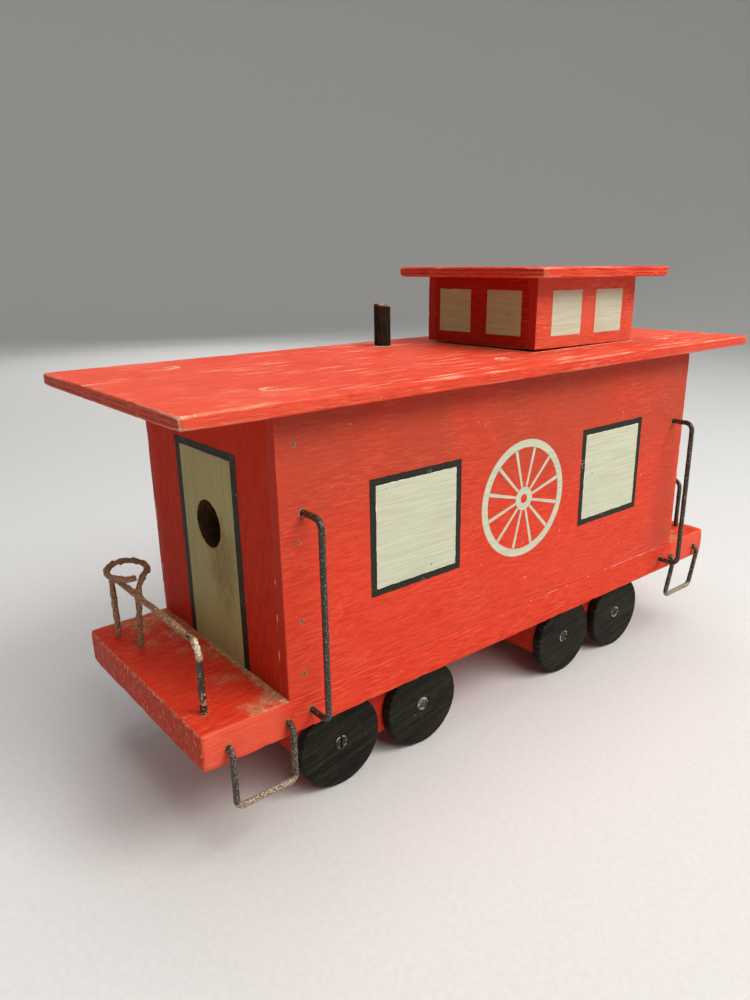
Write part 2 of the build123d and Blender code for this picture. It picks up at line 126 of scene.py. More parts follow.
class Paint:
    """A material's node tree. Each method adds one kind of node and returns its output."""

    def __init__(self, name):
        self.material = bpy.data.materials.new(name)
        self.material.use_nodes = True
        self.tree = self.material.node_tree
        self.tree.nodes.clear()
        self.shader = self.tree.nodes.new("ShaderNodeBsdfPrincipled")
        output = self.tree.nodes.new("ShaderNodeOutputMaterial")
        self.tree.links.new(self.shader.outputs[0], output.inputs[0])
        self.place = self.tree.nodes.new("ShaderNodeTexCoord").outputs["Object"]

    def put(self, socket, value):
        """Links an output to a socket, or sets the socket's own value."""
        if isinstance(value, Value):
            value = value.socket
        if isinstance(value, bpy.types.NodeSocket):
            self.tree.links.new(value, socket)
        elif isinstance(value, (tuple, list)) and len(value) == 3 and socket.type == "RGBA":
            socket.default_value = (*value, 1)
        else:
            socket.default_value = value

    def math(self, operation, a, b=0.0):
        node = self.tree.nodes.new("ShaderNodeMath")
        node.operation = operation
        self.put(node.inputs[0], a)
        self.put(node.inputs[1], b)
        return Value(self, node.outputs[0])

    def larger(self, a, b):
        return self.math("MAXIMUM", a, b)

    def scaled(self, by, turn=(0, 0, 0)):
        """The place on the piece, turned and then scaled, in cycles per metre."""
        node = self.tree.nodes.new("ShaderNodeMapping")
        node.vector_type = "POINT"
        self.put(node.inputs["Vector"], self.place)
        node.inputs["Rotation"].default_value = turn
        stretch = self.tree.nodes.new("ShaderNodeVectorMath")
        stretch.operation = "MULTIPLY"
        self.put(stretch.inputs[0], node.outputs[0])
        stretch.inputs[1].default_value = by
        return stretch.outputs[0]

    def noise(self, by, detail=4, rough=0.55, twist=0.0, turn=(0, 0, 0)):
        node = self.tree.nodes.new("ShaderNodeTexNoise")
        by = (by, by, by) if isinstance(by, (int, float)) else by
        self.put(node.inputs["Vector"], self.scaled(by, turn))
        node.inputs["Scale"].default_value = 1
        node.inputs["Detail"].default_value = detail
        node.inputs["Roughness"].default_value = rough
        node.inputs["Distortion"].default_value = twist
        return Value(self, node.outputs["Fac"])

    def ramp(self, value, start, end, low=0.0, high=1.0):
        """low up to start, high from end, and a smooth step between."""
        node = self.tree.nodes.new("ShaderNodeMapRange")
        node.interpolation_type = "SMOOTHSTEP"
        for name, v in (("Value", value), ("From Min", start), ("From Max", end),
                        ("To Min", low), ("To Max", high)):
            self.put(node.inputs[name], v)
        return Value(self, node.outputs[0])

    def specks(self, by, size, share):
        """Small round spots in some of the cells of a grid of that many per metre."""
        node = self.tree.nodes.new("ShaderNodeTexVoronoi")
        by = (by, by, by) if isinstance(by, (int, float)) else by
        self.put(node.inputs["Vector"], self.scaled(by))
        node.inputs["Scale"].default_value = 1
        spot = self.ramp(node.outputs["Distance"], size, size * 0.6)
        chosen = self.tree.nodes.new("ShaderNodeSeparateColor")
        self.put(chosen.inputs[0], node.outputs["Color"])
        return spot * self.math("LESS_THAN", chosen.outputs[0], share)

    def lines(self, by, width, turn, cover, twist=0.1):
        """Fine lines where a stretched noise crosses its middle, broken up by a second noise."""
        band = abs(self.noise(by, 2, 0.5, twist, turn) - 0.5)
        where = self.ramp(self.noise(55, 2), 1 - cover, 1.04 - cover)
        return self.ramp(band, width, width * 0.3) * where

    def mix(self, share, a, b):
        node = self.tree.nodes.new("ShaderNodeMix")
        node.data_type = "RGBA"
        self.put(node.inputs[0], share)
        self.put(node.inputs[6], a)
        self.put(node.inputs[7], b)
        return node.outputs[2]

    def mark(self, name):
        """A number that the mesh holds at each of its points."""
        node = self.tree.nodes.new("ShaderNodeAttribute")
        node.attribute_name = name
        return Value(self, node.outputs["Fac"])

    def part(self, vector, i):
        node = self.tree.nodes.new("ShaderNodeSeparateXYZ")
        self.put(node.inputs[0], vector)
        return Value(self, node.outputs[i])

    def axis(self, i):
        """The place along one of the frame's axes, in metres."""
        return self.part(self.place, i)

    def normal(self, i):
        geometry = self.tree.nodes.new("ShaderNodeNewGeometry")
        return self.part(geometry.outputs["Normal"], i)

    def inside(self, low, high):
        """1 in a box of the frame, and 0 outside it."""
        found = None
        for i in range(3):
            for test, limit in (("GREATER_THAN", low[i]), ("LESS_THAN", high[i])):
                side = self.math(test, self.axis(i), limit)
                found = side if found is None else found * side
        return found

    def within_hole(self):
        """1 on the wall of the door's hole."""
        y = self.math("SUBTRACT", self.axis(1), door_hole[1])
        z = self.math("SUBTRACT", self.axis(2), door_hole[2])
        squares = y * y + z * z
        near = self.math("LESS_THAN", squares, (door_hole_radius + 0.12 * MM) ** 2)
        return near * self.math("LESS_THAN", self.axis(0), -inner_half_length)

    def mix_value(self, share, a, b):
        node = self.tree.nodes.new("ShaderNodeMix")
        self.put(node.inputs[0], share)
        self.put(node.inputs[2], a)
        self.put(node.inputs[3], b)
        return Value(self, node.outputs[0])

    def facing(self, i):
        """1 on faces that look along an axis, either way."""
        return self.ramp(abs(self.normal(i)), 0.5, 0.8)

    def facing_up(self):
        return self.ramp(self.normal(2), 0.5, 0.8)

    def finish(self, colour, rough, height=None, depth=0.1 * MM, metal=None, gloss=0.5):
        self.put(self.shader.inputs["Base Color"], colour)
        self.put(self.shader.inputs["Roughness"], rough)
        self.put(self.shader.inputs["Specular IOR Level"], gloss)
        if metal is not None:
            self.put(self.shader.inputs["Metallic"], metal)
        if height is not None:
            bump = self.tree.nodes.new("ShaderNodeBump")
            bump.inputs["Strength"].default_value = 1
            bump.inputs["Distance"].default_value = depth
            self.put(bump.inputs["Height"], height)
            self.put(self.shader.inputs["Normal"], bump.outputs[0])
        return self.material


RED = (0.64, 0.047, 0.020)
RED_DEEP = (0.55, 0.028, 0.010)
RED_ORANGE = (0.69, 0.062, 0.029)
CHALKY = (0.82, 0.20, 0.12)
TAN = (0.47, 0.28, 0.13)
PINK_CREAM = (0.80, 0.47, 0.33)
DUST = (0.60, 0.40, 0.22)
BARE = (0.36, 0.20, 0.095)
# Painted shade: the near-black wall of the door's hole.
BORE_SHADE = (0.050, 0.029, 0.014)


WIRE = 1.6 * MM  # the wires' radius
RAIL_BEND_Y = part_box("front_railing")[0].y + WIRE
RAIL_BEND_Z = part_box("front_railing")[1].z - WIRE
RUNG_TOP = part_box("step_iron_right_front")[0].z + 2 * WIRE


def red_paint(name, along, fade=0.10, chips=1.04, floor=False, roof=False, panel=False,
              gloss=0.11, tone=1.0, bleach=0.0, ends=None,
              edge=(0.28, (0.80, 0.15, 0.085)), relief=0.24 * MM):
    """Brushed orange-red paint. along is the axis that the grain and the brush follow.

    tone is how light the paint is, bleach how much of a pale chalky red lies on it in patches, ends
    the colour of its end faces, darker as painted shade, and edge how much of which colour its
    rubbed edges have, worn paint and on the roofs also a painted highlight along the arris."""
    p = Paint(name)
    deep, plain, orange = (tuple(c * tone for c in red) for red in (RED_DEEP, RED, RED_ORANGE))
    across = [1000.0] * 3
    across[along] = 95.0
    strokes = p.noise(tuple(across), 4, 0.55, 0.8)
    wide = [120.0] * 3
    wide[along] = 7.0
    bands = p.noise(tuple(wide), 3)
    fine = p.noise(1300, 3)

    colour = p.mix(p.ramp(strokes, 0.36, 0.60), deep, plain)
    colour = p.mix(p.ramp(bands, 0.45, 0.70, 0, 0.16), colour, orange)
    colour = p.mix(p.ramp(p.noise(16, 3), 0.5, 0.75, 0, 0.30), colour, deep)
    if bleach:
        colour = p.mix(p.ramp(p.noise(26, 4), 0.3, 0.7, bleach * 0.6, bleach * 1.4), colour, CHALKY)
    if roof:
        near_ends = p.ramp(abs(p.axis(0)), 90 * MM, 190 * MM, 0.0, 0.10)
        colour = p.mix(near_ends, colour, CHALKY)
    if panel:
        # The top of each panel is darkened as painted shade under the eaves, and its rear end as painted
        # shadow together with grime.
        high = p.ramp(p.axis(2), floor_top + 44 * MM, floor_top + 116 * MM, 0.05, 0.50)
        rear = p.ramp(p.axis(0), 112 * MM, 146 * MM, 0.0, 0.24)
        dull = p.larger(high, rear) * p.ramp(p.noise(20, 4), 0.3, 0.6, 0.65, 1.15)
        colour = p.mix(dull, colour, (0.30, 0.062, 0.034))
    pale = p.ramp(strokes, 0.52, 0.66) * p.ramp(p.noise(30, 4), 0.38, 0.62)
    colour = p.mix(pale * (fade * 2.4), colour, CHALKY)
    if roof:
        dashes = p.ramp(p.noise((30, 420, 420), 4, 0.6), 0.56, 0.66) * p.ramp(p.noise(24, 3), 0.38, 0.56)
        dashes = dashes * p.facing_up()
        colour = p.mix(dashes * 0.70, colour, (0.88, 0.46, 0.31))

    cross = p.lines((14, 430, 430), 0.0080, (0.35, 0.5, 0.2), 0.38, 0.0)
    slant = p.lines((380, 380, 15), 0.0075, (0.8, 0.3, 0.9), 0.35, 0.0)
    scratches = p.larger(cross, slant)
    colour = p.mix(scratches * 0.5, colour, CHALKY)
    flecks = p.larger(p.specks(200, 0.085, 0.05), p.specks((260, 260, 75), 0.10, 0.022))
    colour = p.mix(flecks * 0.8, colour, PINK_CREAM)
    pits = p.specks(130, 0.075, 0.03)
    colour = p.mix(pits * 0.8, colour, (0.10, 0.025, 0.012))

    # Bare edges: the nearer an edge, the more of a ragged noise shows wood.
    ragged = p.noise(520, 6, 0.7)
    wear = p.mark("wear") * 0.35
    worn = p.ramp(wear + ragged, chips, chips + 0.05)
    worn = worn * p.ramp(p.noise(75, 4, 0.6), 0.38, 0.56, 0.12, 1.0)
    colour = p.mix(worn * 0.9, colour, p.mix(p.ramp(fine, 0.35, 0.65), TAN, PINK_CREAM))

    # Paint is thin and light along an edge: worn paint, and on the roofs also a painted highlight along the
    # arris.
    rubbed = p.ramp(p.mark("wear"), 0.45, 1.0) * p.ramp(p.noise(60, 4), 0.35, 0.6, 0.35, 1.0)
    colour = p.mix(rubbed * edge[0], colour, edge[1])
    # Painted shade: faces that look along the caboose take the darker ends colour.
    if ends is not None:
        colour = p.mix(p.facing(0) * 0.85, colour, ends)

    # Sawn plywood edges: torn streaks along the layers, and a broken dark line between each two.
    rim = p.mark("rim") * (1.0 - p.facing_up())
    layers = p.noise((60, 60, 800), 5, 0.62, 0.3)
    torn = p.ramp(layers, 0.56, 0.68) * rim
    colour = p.mix(torn * 0.38, colour, p.mix(p.ramp(fine, 0.4, 0.6), CHALKY, TAN))
    from_middle = abs(p.mark("layer") - 0.5)
    joint = p.ramp(abs(from_middle - 0.17), 0.050, 0.018)
    joint = joint * rim * p.ramp(p.noise(90, 4), 0.36, 0.56)
    colour = p.mix(joint * 0.55, colour, (0.22, 0.016, 0.008))

    rough = p.ramp(fine, 0.3, 0.7, 0.38, 0.54)
    grime = None
    if floor:
        # Grime lies on the platforms, most of it against the foot of the end walls.
        from_wall = abs(p.axis(0)) - half_length
        cloud = p.noise(55, 5, 0.65)
        far = p.ramp(p.axis(1), -10 * MM, 60 * MM, 0.0, 0.16)
        by_post = p.ramp(p.axis(1), -36 * MM, -60 * MM, 0.0, 0.12)
        far = far + by_post
        spread = p.ramp(from_wall, 0, 34 * MM, 0.22, 0.0) + (far + cloud)
        heap = p.ramp(spread + fine * 0.25, 0.76, 0.98)
        reach = p.ramp(p.axis(1), 55 * MM, -62 * MM, -3.0 * MM, -8.5 * MM)
        seam = p.ramp(from_wall + cloud * reach, 0.9 * MM, -1.4 * MM)
        lying = p.larger(heap * 0.62, seam * 0.92)
        lying = lying * p.ramp(p.noise(620, 5, 0.75), 0.34, 0.54, 0.28, 1.0)
        lying = lying * p.math("GREATER_THAN", from_wall, -0.3 * MM)
        grime = lying * p.facing_up()
        # End grain drinks paint: a deeper red, with upright tan flecks.
        end = p.ramp(abs(p.axis(0)), floor_high.x - 0.6 * MM, floor_high.x - 0.3 * MM)
        grain = p.noise((600, 900, 320), 4, 0.6, 0.3)
        grain = grain + p.ramp(p.axis(2), floor_top - 4 * MM, floor_top, -0.03, 0.06)
        colour = p.mix(end * 0.55, colour, (0.50, 0.045, 0.016))
        colour = p.mix(end * p.ramp(grain, 0.555, 0.625, 0, 0.75), colour, (0.70, 0.40, 0.25))
        # The platforms' side edges are more faded than the floor's top.
        side = p.ramp(abs(p.axis(1)), half_width - 1.2 * MM, half_width - 0.6 * MM)
        beyond = p.ramp(abs(p.axis(0)), half_length - 2 * MM, half_length + 8 * MM, 0.03, 0.26)
        colour = p.mix(side * beyond, colour, CHALKY)
    if roof:
        cloud = p.noise(38, 6, 0.7)
        grime = p.ramp(cloud, 0.60, 0.78, 0, 0.30) * p.facing_up()
    if grime is not None:
        dust = p.mix(p.ramp(p.noise(430, 5, 0.7), 0.42, 0.60), (0.33, 0.21, 0.10), DUST) if floor else DUST
        colour = p.mix(grime, colour, dust)
        rough = rough + grime * 0.3

    # Inside the body the wood was never painted, and the wall of the door's hole is painted nearly black as
    # shade.
    inside = p.inside((-inner_half_length, -inner_half_width, floor_top - 0.05 * MM),
                      (inner_half_length, inner_half_width, roof_top - 0.35 * MM))
    bore = p.within_hole()
    wood = p.mix(p.ramp(strokes, 0.35, 0.65), BARE, (0.52, 0.33, 0.17))
    colour = p.mix(inside, colour, wood)
    colour = p.mix(bore, colour, p.mix(p.ramp(strokes, 0.4, 0.6), BORE_SHADE, (0.11, 0.065, 0.032)))
    rough = p.mix_value(p.larger(inside, bore), rough, 0.75)

    height = strokes + fine * 0.2
    height = height - worn * 0.9
    height = height - scratches * 0.5
    height = height + layers * rim * 2.5
    height = height - joint * 1.5
    return p.finish(colour, rough, height, relief, gloss=gloss)


def cream_paint(name, along, light=(0.535, 0.54, 0.405), stained=False):
    """Grey-cream paint, in low ridges left by the brush."""
    p = Paint(name)
    across = [560.0] * 3
    across[along] = 26.0
    strokes = p.noise(tuple(across), 3, 0.5, 0.9)
    fine = p.noise(1500, 2)
    dark = tuple(c * 0.87 for c in light)
    colour = p.mix(p.ramp(strokes, 0.35, 0.65), dark, light)
    colour = p.mix(p.ramp(p.noise(40, 3), 0.5, 0.8, 0, 0.10), colour, (0.40, 0.36, 0.24))
    if stained:
        # A brown stain lies beside and below the door's hole, on its right, and runs down.
        mist = p.noise((230, 230, 120), 8, 0.80, 0.3)
        beside = abs(p.axis(1) + 12 * MM)
        beside = p.ramp(beside, 2 * MM, 24 * MM, 0.42, 0.0)
        above = p.ramp(p.axis(2), door_hole[2] - 8 * MM, door_hole[2] + 13 * MM, 0.0, 0.40)
        below = p.ramp(p.axis(2), door_hole[2] - 16 * MM, door_hole[2] - 68 * MM, 0.0, 0.40)
        far = above + below
        spread = mist + (beside - far)
        colour = p.mix(p.ramp(spread, 0.50, 1.0, 0, 0.88), colour, (0.27, 0.175, 0.043))
        flecks = p.specks((420, 420, 300), 0.20, 0.30) * p.ramp(spread, 0.6, 0.9)
        colour = p.mix(flecks * 0.5, colour, (0.12, 0.07, 0.02))
    dots = p.specks(95, 0.07, 0.14)
    colour = p.mix(dots * 0.7, colour, (0.10, 0.06, 0.03))
    # Painted highlight: the crown of a bead is painted a lighter cream.
    ridge = p.ramp(p.mark("wear"), 0.4, 1.0)
    colour = p.mix(ridge * 0.6, colour, (0.72, 0.70, 0.56))
    return p.finish(colour, p.ramp(fine, 0.3, 0.7, 0.44, 0.56), strokes, 0.24 * MM, gloss=0.14)


def black_line(name):
    """Thin black paint with light nicks."""
    p = Paint(name)
    fine = p.noise(900, 4)
    colour = p.mix(p.ramp(fine, 0.3, 0.7), (0.010, 0.010, 0.007), (0.030, 0.029, 0.020))
    nicks = p.larger(p.specks(210, 0.11, 0.08), p.lines((300, 300, 60), 0.012, (0.4, 0.9, 0.1), 0.38))
    colour = p.mix(nicks * 0.75, colour, (0.42, 0.34, 0.24))
    return p.finish(colour, p.ramp(fine, 0.3, 0.7, 0.42, 0.58), fine, 0.08 * MM, gloss=0.12)


def black_wood(name, grain=(28, 28, 520), tip=None):
    """Black paint on wood. tip, a direction and how far along it, is where a stack's end is worn."""
    p = Paint(name)
    strokes = p.noise(grain, 5, 0.65, 0.15, (0, 0.18, 0))
    fine = p.noise(1400, 3)
    colour = p.mix(p.ramp(strokes, 0.36, 0.66), (0.007, 0.007, 0.005), (0.022, 0.021, 0.014))
    colour = p.mix(p.ramp(p.noise(90, 4), 0.55, 0.8, 0, 0.5), colour, (0.034, 0.030, 0.018))
    scratches = p.larger(p.lines((18, 300, 520), 0.012, (0, 0.38, 0), 0.50, 0.0),
                         p.lines((22, 300, 480), 0.010, (0, -0.5, 0), 0.44, 0.0))
    colour = p.mix(scratches * 0.15, colour, (0.20, 0.19, 0.13))
    flecks = p.specks(330, 0.12, 0.07)
    colour = p.mix(flecks * 0.8, colour, (0.42, 0.37, 0.25))
    worn = p.ramp(p.mark("wear") + p.noise(520, 6, 0.7), 1.42, 1.55)
    colour = p.mix(worn * 0.7, colour, (0.22, 0.17, 0.10))
    if tip is not None:
        colour = p.mix(p.ramp(strokes, 0.45, 0.70, 0, 0.55), colour, (0.065, 0.022, 0.008))
        way, far = tip
        along = p.axis(0) * way.x
        along = along + p.axis(1) * way.y
        along = along + p.axis(2) * way.z
        rim = p.ramp(along + fine * (1.2 * MM), far - 1.2 * MM, far)
        rim = rim * p.ramp(p.noise(520, 4, 0.7), 0.40, 0.54, 0.15, 1.0)
        colour = p.mix(rim * 0.85, colour, (0.50, 0.36, 0.22))
    height = strokes + fine * 0.3 - scratches
    return p.finish(colour, p.ramp(fine, 0.3, 0.7, 0.42, 0.60), height, 0.12 * MM, gloss=0.07)


def bare_wood(name):
    """Sawn pine that was never painted."""
    p = Paint(name)
    rings = p.noise((420, 9, 420), 5, 0.6, 0.4)
    pores = p.noise((1500, 40, 1500), 3)
    colour = p.mix(p.ramp(rings, 0.35, 0.65), (0.60, 0.40, 0.21), (0.38, 0.22, 0.10))
    colour = p.mix(p.ramp(pores, 0.6, 0.75, 0, 0.5), colour, (0.22, 0.12, 0.05))
    return p.finish(colour, p.ramp(pores, 0.3, 0.7, 0.6, 0.8), rings, 0.15 * MM)


def wire_paint(name, rust, bare, patch=200, tone=1.0, railing=False, rung=False):
    """Black-painted wire. rust and bare, from 0 to 1, say how much of the paint has gone to each.

    patch is how many patches there are to a metre, and tone how light the rust is. A railing's
    right post is still black under a bend rubbed to cream, and a step iron's rung is rubbed bare."""
    p = Paint(name)
    patches = p.noise(patch, 5, 0.7, 0.4)
    crust = p.noise(1100, 5, 0.7)
    black = p.mix(p.ramp(crust, 0.35, 0.65), (0.008, 0.007, 0.005), (0.034, 0.028, 0.018))
    light_rust = (0.34 * tone, 0.17 * tone, 0.085 * tone)
    rust_colour = p.mix(p.ramp(crust, 0.36, 0.62), (0.085, 0.043, 0.022), light_rust)
    rusty = p.ramp(patches, 0.72 - 0.5 * rust, 0.80 - 0.5 * rust)
    rubbed = p.noise(patch * 2.6, 6, 0.75, 0.2)
    shiny = p.ramp(rubbed, 0.78 - 0.34 * bare, 0.84 - 0.34 * bare)
    cream = (0.27, 0.205, 0.125), (0.46, 0.385, 0.27)
    if railing:
        cream = (0.42, 0.33, 0.20), (0.82, 0.74, 0.58)
        beside = p.ramp(p.axis(1), RAIL_BEND_Y + 4 * MM, RAIL_BEND_Y + 1 * MM)
        under = p.ramp(p.axis(2), RAIL_BEND_Z - 7 * MM, RAIL_BEND_Z - 10 * MM)
        speckled = p.ramp(p.axis(2), RAIL_BEND_Z - 26 * MM, RAIL_BEND_Z - 18 * MM, 0.10, 0.42)
        still = p.ramp(patches + speckled, 0.56, 0.62)
        still = still * (beside * under)
        gap = abs(p.axis(1) - (RAIL_BEND_Y + 8 * MM))
        still = p.larger(still, p.ramp(gap, 4.5 * MM, 2 * MM) * p.ramp(patches, 0.44, 0.5))
        rusty = rusty * (1.0 - still)
        bend = p.ramp(p.axis(1), RAIL_BEND_Y + 4 * MM, RAIL_BEND_Y + 2.5 * MM)
        bend = bend * p.ramp(p.axis(2), RAIL_BEND_Z - 9 * MM, RAIL_BEND_Z - 6 * MM)
        shiny = shiny * (1.0 - still * 0.4)
        shiny = p.larger(shiny, bend * p.ramp(rubbed, 0.42, 0.48))
    if rung:
        low = p.ramp(p.axis(2), RUNG_TOP + 2 * MM, RUNG_TOP)
        shiny = p.larger(shiny, low * p.ramp(rubbed, 0.40, 0.50))
    colour = p.mix(rusty, black, rust_colour)
    bare_wire = p.mix(p.ramp(crust, 0.4, 0.6), *cream)
    colour = p.mix(shiny * p.ramp(crust, 0.38, 0.52), colour, bare_wire)
    rough = p.ramp(p.larger(rusty, shiny), 0, 1, 0.26, 0.70)
    return p.finish(colour, rough, crust, 0.30 * MM)


def screw_metal(name):
    """Dulled steel, dark in patches, with bright scratches and a painted highlight round each wheel screw's
    head.
    """
    p = Paint(name)
    dull = p.noise(700, 5, 0.7)
    scratches = p.lines((200, 1400, 1400), 0.03, (0.2, 0.3, 0.1), 0.40)
    colour = p.mix(p.ramp(dull, 0.48, 0.70), (0.026, 0.023, 0.016), (0.22, 0.20, 0.15))
    # Painted highlight: a bright ring round the edge of each wheel screw's head, where it catches the light.
    ring = None
    for node in (f"wheel_right_{i}" for i in range(1, 5)):
        middle = sum(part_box(node), Vector()) / 2
        x, z = p.axis(0) - middle.x, p.axis(2) - middle.z
        away = p.math("SQRT", x * x + z * z)
        ring = away if ring is None else p.math("MINIMUM", ring, away)
    edge = p.ramp(abs(ring - 3.65 * MM), 0.42 * MM, 0.15 * MM)
    edge = edge * p.ramp(p.noise(220, 3), 0.42, 0.56)
    colour = p.mix(p.larger(edge * 0.8, scratches), colour, (0.78, 0.77, 0.67))
    return p.finish(colour, p.ramp(dull, 0.35, 0.65, 0.5, 0.26), dull, 0.06 * MM, metal=0.85)


def filler(name, middle=(0.30, 0.15, 0.07), red=0.8, sunk=False):
    """Wood filler and crumbled paint: pale at its ridges, darker in its hollows.

    red is how much of the red paint still lies on it, which on a sunk plug is all round its ridges."""
    p = Paint(name)
    fine = p.noise(1100, 5, 0.7)
    pale = p.mix(p.ramp(fine, 0.35, 0.65), (0.55, 0.30, 0.16), (0.78, 0.54, 0.36))
    ridge = p.ramp(p.mark("wear") + fine, 0.75, 1.15)
    colour = p.mix(ridge, middle, pale)
    painted = p.ramp(p.noise(380, 4, 0.6), 0.50, 0.60)
    if sunk:
        painted = p.larger(painted, 1.0 - ridge)
    colour = p.mix(painted * red, colour, (0.62, 0.055, 0.025))
    return p.finish(colour, p.ramp(fine, 0.3, 0.7, 0.55, 0.8), fine, 0.25 * MM)


# Painted shade: the doors' cream, darker and browner as on a shaded end.
SHADED_CREAM = (0.435, 0.40, 0.165)
# Worn paint and a painted highlight: the pale line along the roofs' arrises.
WORN_AND_HIGHLIT_EDGE = (0.50, (0.86, 0.35, 0.22))
MATERIALS = {
    "red_along": red_paint("red_paint_along", 0),
    "red_panel": red_paint("red_paint_panel", 0, fade=0.07, panel=True, bleach=0.04, gloss=0.08,
                           ends=(0.52, 0.030, 0.012), relief=0.10 * MM),
    # Painted shade: the end walls take a darker red.
    "red_upright_shaded": red_paint("red_paint_upright_shaded", 2, fade=0.03, gloss=0.015, tone=0.93),
    "red_floor": red_paint("red_paint_floor", 0, chips=0.96, floor=True, gloss=0.05),
    "red_roof": red_paint("red_paint_roof", 0, fade=0.22, chips=0.88, roof=True, gloss=0.08,
                          bleach=0.10, edge=WORN_AND_HIGHLIT_EDGE),
    "red_cupola_roof": red_paint("red_paint_cupola_roof", 0, fade=0.16, chips=0.95, bleach=0.07,
                                 edge=WORN_AND_HIGHLIT_EDGE),
    # Painted shade: the cupola's end walls take a much darker red.
    "red_across_shaded": red_paint("red_paint_across_shaded", 1, fade=0.04, gloss=0.005, tone=0.58),
    "red_cupola_side": red_paint("red_paint_cupola_side", 0, fade=0.20, bleach=0.30, tone=0.84,
                                 ends=(0.36, 0.012, 0.004)),
    "cream": cream_paint("cream_paint_pane", 0),
    "cream_cupola": cream_paint("cream_paint_cupola", 0, (0.53, 0.59, 0.44)),
    # Painted shade: the cupola's end panes, darker and browner.
    "cream_cupola_end": cream_paint("cream_paint_cupola_end", 1, (0.43, 0.53, 0.27)),
    "cream_door_front": cream_paint("cream_paint_door_front", 2, SHADED_CREAM, stained=True),
    "cream_door_rear": cream_paint("cream_paint_door_rear", 2, SHADED_CREAM),
    # Painted highlight: the panes' ridges, a lighter cream.
    "cream_ridge_highlit": cream_paint("cream_paint_ridge_highlit", 0, (0.80, 0.80, 0.70)),
    "black_line": black_line("black_paint_line"),
    "wheel": black_wood("black_paint_wheel"),
    "stack": black_wood("black_paint_stack", (600, 600, 20), (stack_up, stack_reach)),
    "bare": bare_wood("bare_pine"),
    "wire_rusty": wire_paint("wire_rusty", 0.97, 0.56, tone=1.35),
    "wire_railing": wire_paint("wire_railing", 1.05, 0.62, tone=1.55, railing=True),
    "wire_black": wire_paint("wire_blackened", 0.26, 0.62, patch=520),
    "wire_speckled": wire_paint("wire_speckled", 0.34, 0.70, patch=480, rung=True),
    "metal": screw_metal("screw_steel"),
    "nail": filler("nail_filler", (0.11, 0.06, 0.032), red=0.2),
    "flake": filler("flaked_paint", (0.80, 0.36, 0.26), red=0.25),
    "plug": filler("plug_filler", (0.36, 0.17, 0.075), red=0.62, sunk=True),
    "filler": filler("tan_filler"),
}


# ------------------------------------------------------------------ meshes
def scattered(x, y, z):
    """A number from -1 to 1 for each whole-number place, with no order to be seen in them."""
    mixed = (x * 374761393 + y * 668265263 + z * 1274126177) & 0xFFFFFFFF
    mixed = ((mixed ^ (mixed >> 13)) * 1103515245) & 0xFFFFFFFF
    return (mixed ^ (mixed >> 16)) / 0x7FFFFFFF - 1


def rough(points, by, seed, octaves=4):
    """Fractal noise of about -1 to 1 at each point, with by cycles per metre along each axis."""
    place = points * np.array(by) + seed * np.array((1.31, 1.73, -2.37)) + 100
    total, size, reach = 0, 1.0, 0
    for _ in range(octaves):
        cell = np.floor(place)
        share = place - cell
        share = share * share * (3 - 2 * share)
        x, y, z = cell.astype(np.int64).T
        value = 0
        for corner in range(8):
            i, j, k = corner & 1, corner >> 1 & 1, corner >> 2
            weight = (share[:, 0] if i else 1 - share[:, 0]) * (share[:, 1] if j else 1 - share[:, 1])
            value = value + weight * (share[:, 2] if k else 1 - share[:, 2]) * scattered(x + i, y + j, z + k)
        total = total + value * size
        reach += size
        size *= 0.55
        place = place * 2.1 + 7.3
    return 1.5 * total / reach


def smooth_step(value, start, end):
    share = np.clip((value - start) / (end - start), 0.0, 1.0)
    return share * share * (3 - 2 * share)


def slice_mesh(bm, axis, step):
    """Cuts every face along planes a step apart, so that the mesh can bend between them."""
    normal = Vector([float(i == axis) for i in range(3)])
    low = min(v.co[axis] for v in bm.verts)
    high = max(v.co[axis] for v in bm.verts)
    count = max(round((high - low) / (step * COARSE)), 1)
    parts = [(list(bm.faces), [low + (high - low) * i / count for i in range(1, count)])]
    while parts:
        # The middle plane first, and then each half on its own, which is much the quickest way.
        faces, planes = parts.pop()
        if not planes:
            continue
        middle = len(planes) // 2
        at = planes[middle]
        edges = {e for f in faces for e in f.edges}
        verts = {v for e in edges for v in e.verts}
        cut = bmesh.ops.bisect_plane(
            bm, geom=[*verts, *edges, *faces], dist=1e-7, plane_co=normal * at, plane_no=normal
        )
        behind, ahead = [], []
        for part in cut["geom"]:
            if isinstance(part, bmesh.types.BMFace):
                (ahead if part.calc_center_median()[axis] > at else behind).append(part)
        parts += [(behind, planes[:middle]), (ahead, planes[middle + 1:])]


def dense_copy(node, steps):
    """A CAD node's shape as a new mesh, cut into small faces, with its points and their normals."""
    bm = bmesh.new()
    bm.from_mesh(frame["nodes"][node].data)
    bmesh.ops.remove_doubles(bm, verts=bm.verts, dist=1e-6)
    for axis, step in enumerate(steps):
        slice_mesh(bm, axis, step)
    mesh = bpy.data.meshes.new(node)
    bm.normal_update()
    normals = np.array([v.normal for v in bm.verts])
    bm.to_mesh(mesh)
    bm.free()
    points = np.empty(len(mesh.vertices) * 3)
    mesh.vertices.foreach_get("co", points)
    return mesh, points.reshape(-1, 3), normals


def set_mark(mesh, name, values):
    mesh.attributes.new(name, "FLOAT", "POINT").data.foreach_set("value", np.clip(values, 0, 2))


